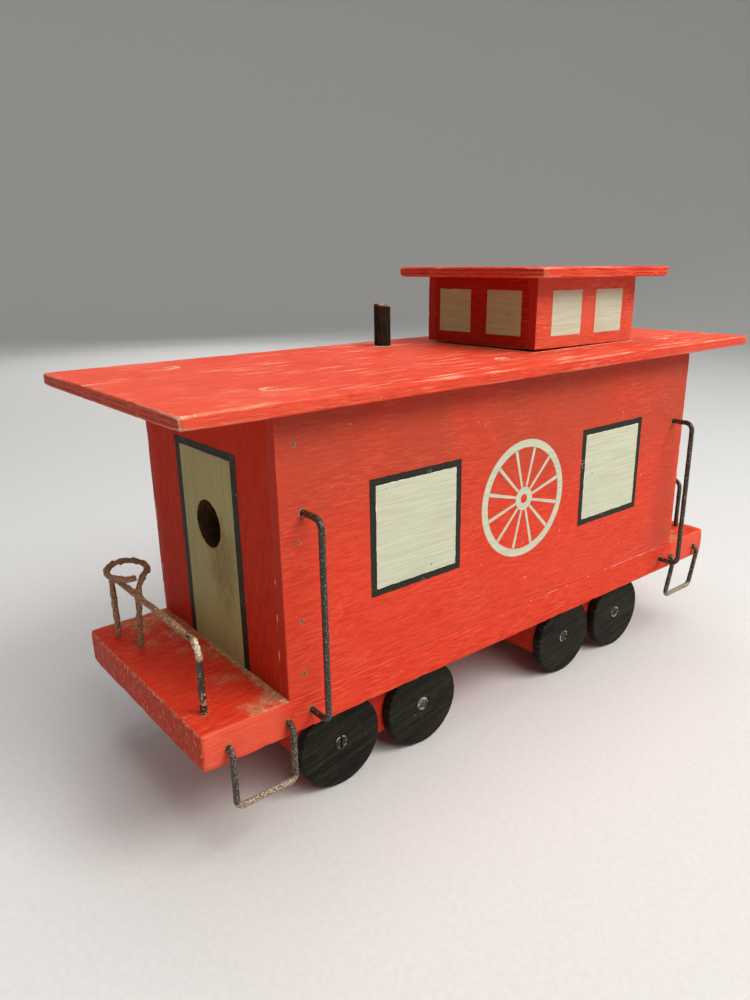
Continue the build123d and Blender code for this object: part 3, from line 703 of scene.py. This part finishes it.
def make_piece(mesh, name, material, body, slot_name, crease=35):
    """Makes a mesh into a piece that rides on a body."""
    mesh.name = name
    if "custom_normal" in mesh.attributes:
        mesh.attributes.remove(mesh.attributes["custom_normal"])
    mesh.update()
    mesh.polygons.foreach_set("use_smooth", [True] * len(mesh.polygons))
    mesh.set_sharp_from_angle(angle=math.radians(crease))
    mesh.materials.clear()
    mesh.materials.append(MATERIALS[material])
    piece = bpy.data.objects.new(name, mesh)
    bpy.context.scene.collection.objects.link(piece)
    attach(piece, body)
    return piece


def piece_from(bm, name, *how, **more):
    """Makes a bmesh into a piece."""
    mesh = bpy.data.meshes.new(name)
    bm.to_mesh(mesh)
    bm.free()
    return make_piece(mesh, name, *how, **more)


def worn_board(node, material, steps, chip, body=ROOT, axes=None, rim=0.0, long_rim=1.0, heap=0.0,
               seed=0.0):
    """A board or plywood piece with rubbed and chipped edges.

    chip is how deep the edges have worn, rim how deep the sawn plywood edge is torn, long_rim how
    much of that its long edges show, and heap how high the dust stands against the end walls."""
    axes = axes or Matrix.Identity(4)
    low, high = (np.array(corner) for corner in box_in(node, axes))
    turn, start = np.array(axes.to_3x3()), np.array(axes.translation)
    mesh, points, _ = dense_copy(node, steps)
    local = (points - start) @ turn
    gap = np.maximum(np.minimum(local - low, high - local), 0)
    inward = np.where(local - low < high - local, 1.0, -1.0)
    ranked = np.sort(gap, axis=1)
    near = np.exp(-((ranked[:, 1] / (1.4 * MM)) ** 2))
    corner = near * np.exp(-((ranked[:, 2] / (5 * MM)) ** 2))
    gouge = smooth_step(rough(local, (130, 130, 130), seed), 0.10, 0.70)
    fine = np.abs(rough(local, (420, 420, 420), seed + 5))
    amount = chip * (near * (0.22 + 0.30 * fine + 0.8 * gouge) + 1.1 * corner)
    toward = inward * np.exp(-((gap / (1.4 * MM)) ** 2))
    toward /= np.maximum(np.linalg.norm(toward, axis=1, keepdims=True), 1e-3)
    shift = toward * amount[:, None]
    sideways = np.argmin(gap[:, :2], axis=1)
    edge = (np.minimum(gap[:, 0], gap[:, 1]) < 0.3 * MM) * np.where(sideways == 1, long_rim, 1.0)
    if rim:
        # The middle layer is torn the deepest, and its tears run along the edge.
        share = (local[:, 2] - low[2]) / (high[2] - low[2])
        layer = np.exp(-(((share - 0.5) / 0.20) ** 2))
        tear = np.maximum(rough(local, (110, 110, 700), seed + 9, 5), 0)
        groove = np.exp(-(((np.abs(share - 0.5) - 0.17) / 0.08) ** 2))
        depth = rim * (0.30 * layer + 0.25 * groove + tear * (0.25 + 0.5 * layer)) * edge
        rows = np.arange(len(local))
        shift[rows, sideways] += inward[rows, sideways] * depth
    if rim:
        # Its front right corner has been knocked the most.
        knocked = near * np.exp(-((np.linalg.norm(local[:, :2] - low[:2], axis=1) / (16 * MM)) ** 2))
        shift += toward * (knocked * (0.4 + fine) * chip)[:, None]
    if heap:
        from_wall = np.abs(local[:, 0]) - half_length
        top = (high[2] - local[:, 2] < 0.1 * MM) & (from_wall > -0.5 * MM)
        lump = 0.55 + 0.7 * np.abs(rough(local, (90, 90, 90), seed + 4))
        shift[:, 2] += heap * top * lump * np.exp(-np.maximum(from_wall, 0) / (2.0 * MM)) * (near < 0.2)
    local = local + shift
    mesh.vertices.foreach_set("co", (local @ turn.T + start).ravel())
    patchy = smooth_step(rough(local, (34, 34, 34), seed + 2), -0.35, 0.45)
    wear = near * (0.45 + 0.55 * patchy) + 0.55 * corner
    set_mark(mesh, "wear", wear + (1.1 * knocked if rim else 0))
    set_mark(mesh, "rim", edge * float(rim > 0))
    set_mark(mesh, "layer", (local[:, 2] - low[2]) / (high[2] - low[2]))
    piece = make_piece(mesh, f"{node}_worn", material, body, "red_painted_wood")
    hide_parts(node)
    return piece


def rusty_wire(node, material, lumps, seed):
    """A bent wire, its surface lumpy with rust and old paint."""
    mesh, points, normals = dense_copy(node, (1.1 * MM,) * 3)
    swell = rough(points, (420,) * 3, seed, 5) + 0.5 * rough(points, (1300,) * 3, seed)
    points = points + normals * (swell * lumps)[:, None]
    mesh.vertices.foreach_set("co", points.ravel())
    piece = make_piece(mesh, f"{node}_wire", material, ROOT, "blackened_wire", crease=60)
    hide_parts(node)


def wheel_disc(node, seed):
    """A wheel sawn from a board: not quite round, rubbed at its rim, ragged round its screw."""
    low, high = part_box(node)
    middle, radius = np.array((low + high) / 2), (high.x - low.x) / 2
    outer_y = low.y if middle[1] < 0 else high.y
    mesh, points, _ = dense_copy(node, (1.5 * MM, 1.3 * MM, 1.5 * MM))
    away = (points - middle) * np.array((1, 0, 1))
    distance = np.linalg.norm(away, axis=1)
    away /= np.maximum(distance, 1e-6)[:, None]
    rim = smooth_step(distance, radius - 1.6 * MM, radius)
    nick = smooth_step(rough(points, (160,) * 3, seed), 0.2, 0.8)
    edge = np.exp(-((np.minimum(points[:, 1] - low.y, high.y - points[:, 1]) / (1.0 * MM)) ** 2))
    shift = -rim * (0.10 + 0.40 * nick + 0.30 * edge) * MM
    # The countersink was cut by hand.
    sink = smooth_step(distance, 5.6 * MM, 4.3 * MM) * (np.abs(points[:, 1] - outer_y) < 3 * MM)
    sink *= distance > 0.5 * MM
    shift += sink * rough(points, (500,) * 3, seed + 3) * 0.45 * MM
    mesh.vertices.foreach_set("co", (points + away * shift[:, None]).ravel())
    set_mark(mesh, "wear", np.maximum(rim * edge, sink * 0.6))
    piece = make_piece(mesh, f"{node}_disc", "wheel", node, "black_painted_wood", crease=40)
    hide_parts(node)


# ------------------------------------------------------------------ boards, wheels and wires
worn_board("floor_board", "red_floor", (1.7 * MM, 1.7 * MM, 1.6 * MM), 0.45 * MM,
           heap=0.7 * MM, seed=1)
worn_board("roof_board", "red_roof", (1.7 * MM, 1.7 * MM, 0.8 * MM), 0.42 * MM, rim=0.5 * MM,
           long_rim=0.4, seed=2)
for number, side in enumerate(SIDES):
    worn_board(f"side_panel_{side}", "red_panel", (2 * MM, 1.6 * MM, 2 * MM), 0.28 * MM, seed=3 + number)
    worn_board(f"cupola_{side}_wall", "red_cupola_side", (1.6 * MM,) * 3, 0.25 * MM,
               body="cupola", axes=cupola_axes, seed=5 + number)
for number, end in enumerate(ENDS):
    worn_board(f"truck_block_{end}", "red_along", (2.4 * MM,) * 3, 0.4 * MM, seed=7 + number)
    worn_board(f"{end}_wall", "red_upright_shaded", (2.4 * MM, 1.8 * MM, 2 * MM), 0.25 * MM, seed=13 + number)
    worn_board(f"cupola_{end}_wall", "red_across_shaded", (1.6 * MM,) * 3, 0.25 * MM,
               body="cupola", axes=cupola_axes, seed=15 + number)
worn_board("cupola_roof", "red_cupola_roof", (1.2 * MM, 1.2 * MM, 0.7 * MM), 0.55 * MM,
           body="cupola", axes=cupola_axes, rim=0.8 * MM, seed=11)

for number in range(1, 5):
    for side in SIDES:
        wheel_disc(f"wheel_{side}_{number}", seed=number * 3.1 + (side == "left") * 20)

for number, (node, material, lumps) in enumerate(
    [("front_railing", "wire_railing", 0.42 * MM), ("rear_railing", "wire_black", 0.12 * MM),
     ("brake_wheel", "wire_rusty", 0.62 * MM)]
    + [(f"grab_iron_{s}_{e}", "wire_black", 0.12 * MM) for s in SIDES for e in ENDS]
    + [(f"step_iron_{s}_{e}", "wire_speckled", 0.12 * MM) for s in SIDES for e in ENDS]
):
    rusty_wire(node, material, lumps, seed=30 + number)

# CAD nodes that stay, with their own materials.
for node, material in {
    "roof_rib": "bare", "cupola_cleat_front": "bare", "cupola_cleat_rear": "bare",
    "smoke_stack": "stack", "wheel_screws": "metal", "floor_screws": "metal",
    "block_screws": "metal", "roof_screws": "metal",
    "side_nails_right": "nail", "side_nails_left": "nail",
}.items():
    data = frame["nodes"][node].data
    data.materials.clear()
    data.materials.append(MATERIALS[material])


# ------------------------------------------------------------------ painted shapes
def resampled(outline, spacing, wobble, seed):
    """A closed outline with points a spacing apart, moved a little as a brush wanders."""
    points = []
    for i, start in enumerate(outline):
        end = outline[(i + 1) % len(outline)]
        run = Vector(end) - Vector(start)
        count = max(int(run.length / spacing), 1)
        across = Vector((-run.y, run.x)).normalized()
        for k in range(count):
            at = Vector(start) + run * k / count
            drift = noise.noise(Vector((at.x * 260, at.y * 260, seed)))
            points.append(at + across * drift * wobble)
    return points


def rectangle(left, right, bottom, top):
    return [(left, bottom), (right, bottom), (right, top), (left, top)]


def circle(radius, centre=(0.0, 0.0), count=72):
    turns = [2 * math.pi * i / count for i in range(count)]
    return [(centre[0] + radius * math.cos(t), centre[1] + radius * math.sin(t)) for t in turns]


def add_film(bm, outlines, place, low, high, seed, spacing=1.5 * MM, wobble=0.25 * MM):
    """Adds one closed film of paint: the first outline's shape, less the others as holes."""
    edges = []
    rings = [resampled(outline, spacing, wobble, seed + i) for i, outline in enumerate(outlines)]
    for ring in rings:
        verts = [bm.verts.new(place(q.x, q.y, low)) for q in ring]
        edges += [bm.edges.new((verts[i - 1], verts[i])) for i in range(len(verts))]
    out = (place(0, 0, 1) - place(0, 0, 0)).normalized()
    filled = bmesh.ops.triangle_fill(bm, edges=edges, use_beauty=True, use_dissolve=False, normal=out)
    base = [f for f in filled["geom"] if isinstance(f, bmesh.types.BMFace)]
    top = bmesh.ops.extrude_face_region(bm, geom=base)
    raised = [v for v in top["geom"] if isinstance(v, bmesh.types.BMVert)]
    bmesh.ops.translate(bm, verts=raised, vec=out * (high - low))


def film(name, shapes, place, low, high, material, body, slot_name, seed=0, **how):
    """A piece made of paint films that lie on one flat face."""
    bm = bmesh.new()
    for i, outlines in enumerate(shapes):
        add_film(bm, outlines, place, low, high, seed + i * 7, **how)
    bmesh.ops.recalc_face_normals(bm, faces=bm.faces)
    return piece_from(bm, name, material, body, slot_name, crease=30)


def on_side(sign):
    """Places on a side panel: along the caboose from its middle, height, and out of the panel."""
    return lambda u, v, out: Vector((u, sign * (half_width + out), v))


def on_end(sign):
    return lambda u, v, out: Vector((sign * (half_length + out), -sign * u, v))


UNDER = (-0.10 * MM, 0.10 * MM)  # where a first coat starts and ends, out of the face
OVER = (0.02 * MM, 0.20 * MM)
LINE = 4.0 * MM

WINDOWS = (-83.2 * MM, 83.2 * MM)  # the windows' middles along a side panel
window_half = 31.2 * MM
window_bottom = floor_top + 38.9 * MM
window_top = window_bottom + 62 * MM
motif_centre = (-0.6 * MM, floor_top + 68.2 * MM)
motif_radius = 35 * MM
door_left, door_right = -33.3 * MM, 32.2 * MM
door_top = floor_top + 115 * MM
DOOR_POST = 5.6 * MM  # the width of the door's upright lines


def window_outline(centre, inset=0.0):
    """A window's outline on a side panel, less a margin all round."""
    return rectangle(centre - window_half + inset, centre + window_half - inset,
                     window_bottom + inset, window_top - inset)


def spoked_wheel(centre, radius, spokes=12):
    """A plain wagon wheel: a rim, a hub with a hole, and tapered spokes."""
    def around(r, turn):
        return centre[0] + r * math.cos(turn), centre[1] + r * math.sin(turn)

    rim_inner, hub = 0.87 * radius, 0.20 * radius
    shapes = [[circle(radius, centre, 120), circle(rim_inner, centre, 110)],
              [circle(hub, centre, 40), circle(0.08 * radius, centre, 20)]]
    for i in range(spokes):
        turn = 2 * math.pi * (i + 0.5) / spokes
        root, tip = 0.10, 0.035
        gap = 0.3 * MM
        shapes.append([[around(hub + gap, turn - root), around(rim_inner - gap, turn - tip),
                        around(rim_inner - gap, turn + tip), around(hub + gap, turn + root)]])
    return shapes


for side, sign in SIDES.items():
    place = on_side(sign)
    seed = 40 if side == "right" else 60
    outers = [[window_outline(c)] for c in WINDOWS]
    inners = [[window_outline(c, LINE)] for c in WINDOWS]
    film(f"window_lines_{side}", outers, place, *UNDER, "black_line", ROOT, "black_paint", seed)
    film(f"window_panes_{side}", inners, place, *OVER, "cream", ROOT, "cream_paint", seed + 3)
    film(f"wheel_motif_{side}", spoked_wheel(motif_centre, motif_radius), place, *UNDER,
         "cream", ROOT, "cream_paint", seed + 5, wobble=0.12 * MM)

for end, sign in ENDS.items():
    place = on_end(sign)
    hole = [circle(door_hole_radius + 0.3 * MM, (0, door_hole[2]), 60)] if end == "front" else []
    film(f"door_lines_{end}", [[rectangle(door_left, door_right, floor_top, door_top)] + hole],
         place, *UNDER, "black_line", ROOT, "black_paint", 80)
    film(f"door_pane_{end}",
         [[rectangle(door_left + DOOR_POST, door_right - DOOR_POST, floor_top, door_top - LINE)] + hole],
         place, *OVER, f"cream_door_{end}", ROOT, "cream_paint", 83)

# The cupola's panes: two to a wall, with no line round them.
pane_half = 14.1 * MM
pane_offset = 21.2 * MM
pane_tall = 26.7 * MM
walls = {node: box_in(node, cupola_axes) for node in
         ("cupola_right_wall", "cupola_left_wall", "cupola_front_wall", "cupola_rear_wall")}
cupola_low = Vector([min(low[i] for low, _ in walls.values()) for i in range(3)])
cupola_high = Vector([max(high[i] for _, high in walls.values()) for i in range(3)])
cupola_middle = (cupola_low + cupola_high) / 2


def cupola_place(axis, sign):
    """Places on a cupola wall that faces along one of its axes, u and v from the wall's middle."""
    def place(u, v, out):
        local = cupola_middle.copy()
        local[1 - axis] += u
        local.z += v
        local[axis] = (cupola_high if sign > 0 else cupola_low)[axis] + sign * out
        return cupola_axes @ local
    return place


for name, axis, sign, material in (("front", 0, -1, "cream_cupola_end"), ("rear", 0, 1, "cream_cupola_end"),
                                   ("right", 1, -1, "cream_cupola"), ("left", 1, 1, "cream_cupola")):
    panes = [[rectangle(c - pane_half, c + pane_half, -pane_tall / 2, pane_tall / 2)]
             for c in (-pane_offset, pane_offset)]
    film(f"cupola_panes_{name}", panes, cupola_place(axis, sign), *UNDER, material, "cupola",
         "cream_paint", 90 + axis * 2 + sign)


# ------------------------------------------------------------------ filler, beads and chips
def lump_disc(bm, centre, radius, profile, seed, wear_layer, rings=14, count=44):
    """Adds a closed round lump that stands on the roof, its top's height given by profile."""
    def ring_at(share, z_of):
        made = []
        for k in range(count):
            turn = 2 * math.pi * k / count
            wander = 1 + 0.14 * noise.noise(Vector((math.cos(turn) * 1.6, math.sin(turn) * 1.6, seed)))
            x, y = math.cos(turn) * radius * share * wander, math.sin(turn) * radius * share * wander
            z, wear = z_of(share, turn)
            v = bm.verts.new(centre + Vector((x, y, z)))
            v[wear_layer] = wear
            made.append(v)
        return made

    top = [ring_at((i + 1) / rings, profile) for i in range(rings)]
    foot = ring_at(1.0, lambda share, turn: (-1.2 * MM, 0.0))
    middle = bm.verts.new(centre + Vector((0, 0, profile(0, 0)[0])))
    base = bm.verts.new(centre + Vector((0, 0, -1.2 * MM)))
    for k in range(count):
        n = (k + 1) % count
        bm.faces.new((middle, top[0][k], top[0][n]))
        for inner, outer in zip(top, top[1:]):
            bm.faces.new((inner[k], outer[k], outer[n], inner[n]))
        bm.faces.new((top[-1][k], foot[k], foot[n], top[-1][n]))
        bm.faces.new((foot[k], base, foot[n]))


def plug_profile(seed):
    """Filler that has sunk in its middle and stands proud in a crescent at one side."""
    lean = seed * 2.4

    def profile(share, turn):
        ridge = math.exp(-(((share - 0.72) / 0.20) ** 2)) * (0.70 + 0.30 * math.cos(turn - lean))
        grit = noise.noise(Vector((share * 6 * math.cos(turn), share * 6 * math.sin(turn), seed)))
        dip = -0.55 * (1 - smooth_step(share, 0.25, 0.75))
        fall = -0.5 * smooth_step(share, 0.88, 1.0)
        return (dip + 0.42 * ridge + 0.14 * grit + fall) * MM, ridge
    return profile


def split_solids(node):
    """The centre of each separate solid in a CAD node, seen from above."""
    bm = bmesh.new()
    bm.from_mesh(frame["nodes"][node].data)
    bmesh.ops.remove_doubles(bm, verts=bm.verts, dist=1e-6)
    left, centres = set(bm.verts), []
    while left:
        stack, group = [left.pop()], []
        while stack:
            v = stack.pop()
            group.append(v.co.copy())
            for e in v.link_edges:
                other = e.other_vert(v)
                if other in left:
                    left.remove(other)
                    stack.append(other)
        spans = [(min(c[i] for c in group) + max(c[i] for c in group)) / 2 for i in range(3)]
        centres.append(Vector(spans))
    bm.free()
    return sorted(centres, key=lambda c: (round(c.x, 4), round(c.y, 4)))


bm = bmesh.new()
wear_layer = bm.verts.layers.float.new("wear")
for number, centre in enumerate(split_solids("screw_plugs")):
    at = Vector((centre.x, centre.y, roof_top))
    lump_disc(bm, at, 5.4 * MM, plug_profile(1.3 + number), 1.3 + number, wear_layer)
bmesh.ops.recalc_face_normals(bm, faces=bm.faces)
plugs = piece_from(bm, "roof_filler", "plug", ROOT, "wood_filler", crease=60)
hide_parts("screw_plugs")


def bead(name, path, width, height, place, material, body, slot_name, seed):
    """A low half-round bead along a closed path of (u, v) points, uneven as a bead of paint is."""
    bm = bmesh.new()
    layer = bm.verts.layers.float.new("wear")
    points = resampled(path, 1.2 * MM, 0.12 * MM, seed)
    arc = 7
    rows = []
    for i, q in enumerate(points):
        run = (points[(i + 1) % len(points)] - points[i - 1]).normalized()
        across = Vector((-run.y, run.x))
        swell = 0.62 + 0.75 * abs(noise.noise(Vector((q.x * 190, q.y * 190, seed))))
        row = []
        for k in range(arc):
            turn = math.pi * k / (arc - 1)
            u = q + across * math.cos(turn) * width / 2 * swell
            v = bm.verts.new(place(u.x, u.y, (math.sin(turn) * height - 0.08 * MM) * swell))
            v[layer] = math.sin(turn)
            row.append(v)
        rows.append(row)
    for i, row in enumerate(rows):
        ahead = rows[(i + 1) % len(rows)]
        for k in range(arc):
            n = (k + 1) % arc
            bm.faces.new((row[k], ahead[k], ahead[n], row[n]))
    bmesh.ops.recalc_face_normals(bm, faces=bm.faces)
    piece_from(bm, name, material, body, slot_name, crease=60)


# A ridge of cream stands along the edge of each window's pane, painted lighter than the pane as a painted
# highlight.
for side, sign in SIDES.items():
    for number, c in enumerate(WINDOWS):
        bead(f"pane_ridge_{side}_{number + 1}", window_outline(c, LINE), 0.8 * MM, 0.30 * MM,
             on_side(sign), "cream_ridge_highlit", ROOT, "cream_paint", 21 + number)


def on_roof(u, v, out):
    return Vector((u, v, roof_top + out))


# Paint has built up round the door's hole: a painted-shade cream, with a painted highlight on its crown.
hole_rim = circle(door_hole_radius + 0.75 * MM, (0, door_hole[2]), 60)
bead("hole_rim", hole_rim, 1.0 * MM, 0.30 * MM, on_end(-1), "cream_cupola_end", ROOT, "cream_paint", 31)


# Old paint stands in a pale bead round where the cupola has always sat, and round the stack. Round the
# cupola its pale colour is also a painted highlight along the bead.
cupola_plan = [cupola_axes @ Vector((x, y, 0)) for x, y in
               ((cupola_low.x, cupola_low.y), (cupola_high.x, cupola_low.y),
                (cupola_high.x, cupola_high.y), (cupola_low.x, cupola_high.y))]
gap = 0.9 * MM
centre_x = sum(q.x for q in cupola_plan) / 4
centre_y = sum(q.y for q in cupola_plan) / 4
cupola_line = [(q.x + math.copysign(gap, q.x - centre_x), q.y + math.copysign(gap, q.y - centre_y))
               for q in cupola_plan]
bead("cupola_paint_line", cupola_line, 1.3 * MM, 0.38 * MM, on_roof, "filler", ROOT, "wood_filler", 3)
stack_low, stack_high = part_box("smoke_stack")
stack_middle = (stack_low + stack_high) / 2
stack_radius = (stack_high.x - stack_low.x) / 2
bead("stack_paint_line", circle(stack_radius + 0.5 * MM, (stack_middle.x, stack_middle.y), 40),
     1.7 * MM, 0.55 * MM, on_roof, "filler", ROOT, "wood_filler", 5)


def chips_at(name, centres, place, inner, outer, seed):
    """Crumbled paint round the wires where they enter the wood."""
    shapes = []
    for number, (u, v) in enumerate(centres):
        outline = []
        for k in range(36):
            turn = 2 * math.pi * k / 36
            reach = noise.noise(Vector((math.cos(turn) * 1.8, math.sin(turn) * 1.8, seed + number)))
            r = inner + (outer - inner) * (0.45 + 0.9 * max(reach, -0.3))
            outline.append((u + r * math.cos(turn), v + r * math.sin(turn)))
        shapes.append([outline, circle(inner, (u, v), 28)])
    film(name, shapes, place, -0.1 * MM, 0.16 * MM, "filler", ROOT, "wood_filler", seed,
         spacing=0.8 * MM, wobble=0.05 * MM)


def seam_flakes(side, sign, first):
    """Short flakes of pale paint that have lifted along the seam between a panel and the floor.

    first is where the row starts, in millimetres towards the front on the right side and towards
    the rear on the left. It also stands for the row's seed."""
    shapes = []
    for number, (start, length) in enumerate(((0, 10), (11, 3), (24, 15), (46, 3), (69, 2), (87, 5),
                                              (94, 23), (117, 4), (122, 20), (142, 11))):
        u = sign * first * MM + start * MM
        tall = (0.16 + 0.26 * abs(noise.noise(Vector((number * 1.7, first, 0.5))))) * MM
        middle = floor_top + 0.15 * MM
        shapes.append([[(u, middle), (u + 0.3 * length * MM, middle - tall), (u + length * MM, middle),
                        (u + 0.6 * length * MM, middle + tall)]])
    film(f"seam_flakes_{side}", shapes, on_side(sign), -0.1 * MM, 0.15 * MM, "flake", ROOT,
         "wood_filler", first, spacing=0.9 * MM, wobble=0.2 * MM)


def corner_flakes():
    """Slivers where paint has come off the upright edges at the front.

    Each is given by its place across the wall, its foot, its length and half its width, in mm."""
    left, right = (half_width - 2.3 * MM) / MM, -inner_half_width / MM
    shapes = []
    for u, foot, length, half in ((left, 52, 19, 0.9), (left + 0.5, 3, 15, 0.8), (left - 0.6, 26, 5, 0.7),
                                  (right, 40, 4, 0.4), (right - 0.3, 59, 2.5, 0.4),
                                  (right + 0.2, 19, 6, 0.4)):
        u, foot, length, half = u * MM, floor_top + foot * MM, length * MM, half * MM
        shapes.append([[(u - half, foot + 0.4 * length), (u, foot),
                        (u + half, foot + 0.6 * length), (u, foot + length)]])
    film("corner_flakes", shapes, on_end(-1), -0.1 * MM, 0.15 * MM, "flake", ROOT, "wood_filler", 37,
         spacing=0.9 * MM, wobble=0.2 * MM)


corner_flakes()


def on_floor(u, v, out):
    return Vector((u, v, floor_top + out))


post_places = []
for end in ENDS:
    low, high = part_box(f"{end}_railing")
    post_places += [((low.x + high.x) / 2, y) for y in (low.y + WIRE, high.y - WIRE)]
brake_points = [v.co for v in frame["nodes"]["brake_wheel"].data.vertices]
brake_foot = [c for c in brake_points if c.z < floor_top - 1 * MM]
foot_spans = [(min(c[i] for c in brake_foot), max(c[i] for c in brake_foot)) for i in range(2)]
post_places.append(tuple((low + high) / 2 for low, high in foot_spans))
chips_at("post_chips", post_places, on_floor, WIRE + 0.05 * MM, 3.4 * MM, 11)


def pins_in_board(node, sign):
    """Where a step iron's two pins enter the edge of the floor board: along it, and the height."""
    deep = [v.co for v in frame["nodes"][node].data.vertices if v.co.y * sign < half_width - 1 * MM]
    middle = (min(c.x for c in deep) + max(c.x for c in deep)) / 2
    places = []
    for group in ([c for c in deep if c.x < middle], [c for c in deep if c.x > middle]):
        along, tall = [c.x for c in group], [c.z for c in group]
        places.append(((min(along) + max(along)) / 2, (min(tall) + max(tall)) / 2))
    return places


for side, sign in SIDES.items():
    seam_flakes(side, sign, 2 if side == "right" else -120)
    nails = [(c.x, c.z) for c in split_solids(f"side_nails_{side}")]
    chips_at(f"nail_chips_{side}", nails, on_side(sign), 0.75 * MM, 2.0 * MM, 29)
    entries = []
    for end in ENDS:
        low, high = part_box(f"grab_iron_{side}_{end}")
        entries.append(((low.x + high.x) / 2, high.z - WIRE))
        entries.append(((low.x + high.x) / 2, low.z + WIRE))
        entries += pins_in_board(f"step_iron_{side}_{end}", sign)
    chips_at(f"wire_chips_{side}", entries, on_side(sign), WIRE + 0.05 * MM, 3.0 * MM, 17)


# ------------------------------------------------------------------ floor, light and camera
def studio_sweep():
    """A pale floor that curves up to a backdrop all round, so that every view has the same one."""
    p = Paint("studio_floor")
    grain = p.noise(300, 4)
    material = p.finish(p.mix(p.ramp(grain, 0.3, 0.7), (0.58, 0.575, 0.565), (0.61, 0.605, 0.595)),
                        p.ramp(grain, 0.3, 0.7, 0.80, 0.90), grain, 0.03 * MM, gloss=0.2)
    profile = [(0.0, 0.0), (2.4, 0.0)]
    for i in range(1, 13):
        turn = math.pi / 2 * i / 12
        profile.append((2.4 + 1.3 * math.sin(turn), 1.3 * (1 - math.cos(turn))))
    profile.append((3.7, 3.4))
    count = 72
    turns = [2 * math.pi * k / count for k in range(count)]
    points = [(0, 0, 0)] + [(r * math.cos(t), r * math.sin(t), z) for r, z in profile[1:] for t in turns]
    faces = [(0, 1 + k, 1 + (k + 1) % count) for k in range(count)]
    for ring in range(len(profile) - 2):
        first = 1 + ring * count
        for k in range(count):
            n = (k + 1) % count
            faces.append((first + k, first + count + k, first + count + n, first + n))
    mesh = bpy.data.meshes.new("studio_floor")
    mesh.from_pydata(points, [], faces)
    mesh.polygons.foreach_set("use_smooth", [True] * len(mesh.polygons))
    mesh.materials.append(material)
    sweep = bpy.data.objects.new("studio_floor", mesh)
    bpy.context.scene.collection.objects.link(sweep)


def area_light(name, place, aim, size, power, colour=(1, 1, 1), mirrored=True):
    data = bpy.data.lights.new(name, "AREA")
    data.shape, data.size, data.energy, data.color = "DISK", size, power, colour
    lamp = bpy.data.objects.new(name, data)
    lamp.location = place
    lamp.rotation_euler = (Vector(aim) - Vector(place)).to_track_quat("-Z", "Y").to_euler()
    lamp.visible_glossy = mirrored
    bpy.context.scene.collection.objects.link(lamp)


studio_sweep()
area_light("key", (0.8, -1.3, 1.7), (0, 0, 0.1), 1.1, 35, (1, 0.98, 0.94))
area_light("second_key", (-0.12, -1.5, 1.5), (0, 0, 0.1), 1.1, 19, (1, 0.98, 0.94))
area_light("top", (0.1, -0.1, 2.0), (0, 0, 0.1), 1.4, 16.5, mirrored=False)
area_light("rear_fill", (0.8, 1.9, 1.1), (0, 0, 0.1), 1.6, 14, mirrored=False)

world = bpy.data.worlds.new("studio")
world.use_nodes = True
world.node_tree.nodes["Background"].inputs["Color"].default_value = (0.80, 0.81, 0.82, 1)
world.node_tree.nodes["Background"].inputs["Strength"].default_value = 0.245
bpy.context.scene.world = world
bpy.context.scene.view_settings.view_transform = "Standard"

CAMERA_PLACE = Vector((-334.3, -351.0, 276.7)) * MM
HEADING, DOWN, ROLL = math.radians(38.89), math.radians(17.98), math.radians(-0.86)
forward = Vector((math.sin(HEADING) * math.cos(DOWN), math.cos(HEADING) * math.cos(DOWN), -math.sin(DOWN)))
level = Vector((math.cos(HEADING), -math.sin(HEADING), 0))
upright = level.cross(forward)
across = math.cos(ROLL) * level + math.sin(ROLL) * upright
above = -math.sin(ROLL) * level + math.cos(ROLL) * upright
camera_data = bpy.data.cameras.new("camera")
camera_data.lens, camera_data.sensor_width = 27.77, 36
camera_data.shift_x, camera_data.shift_y = -0.0058, 0.0099
camera_data.clip_start = 0.02
camera = bpy.data.objects.new("camera", camera_data)
camera.matrix_world = Matrix.Translation(CAMERA_PLACE) @ Matrix(
    (across, above, -forward)).transposed().to_4x4()
bpy.context.scene.collection.objects.link(camera)
bpy.context.scene.camera = camera
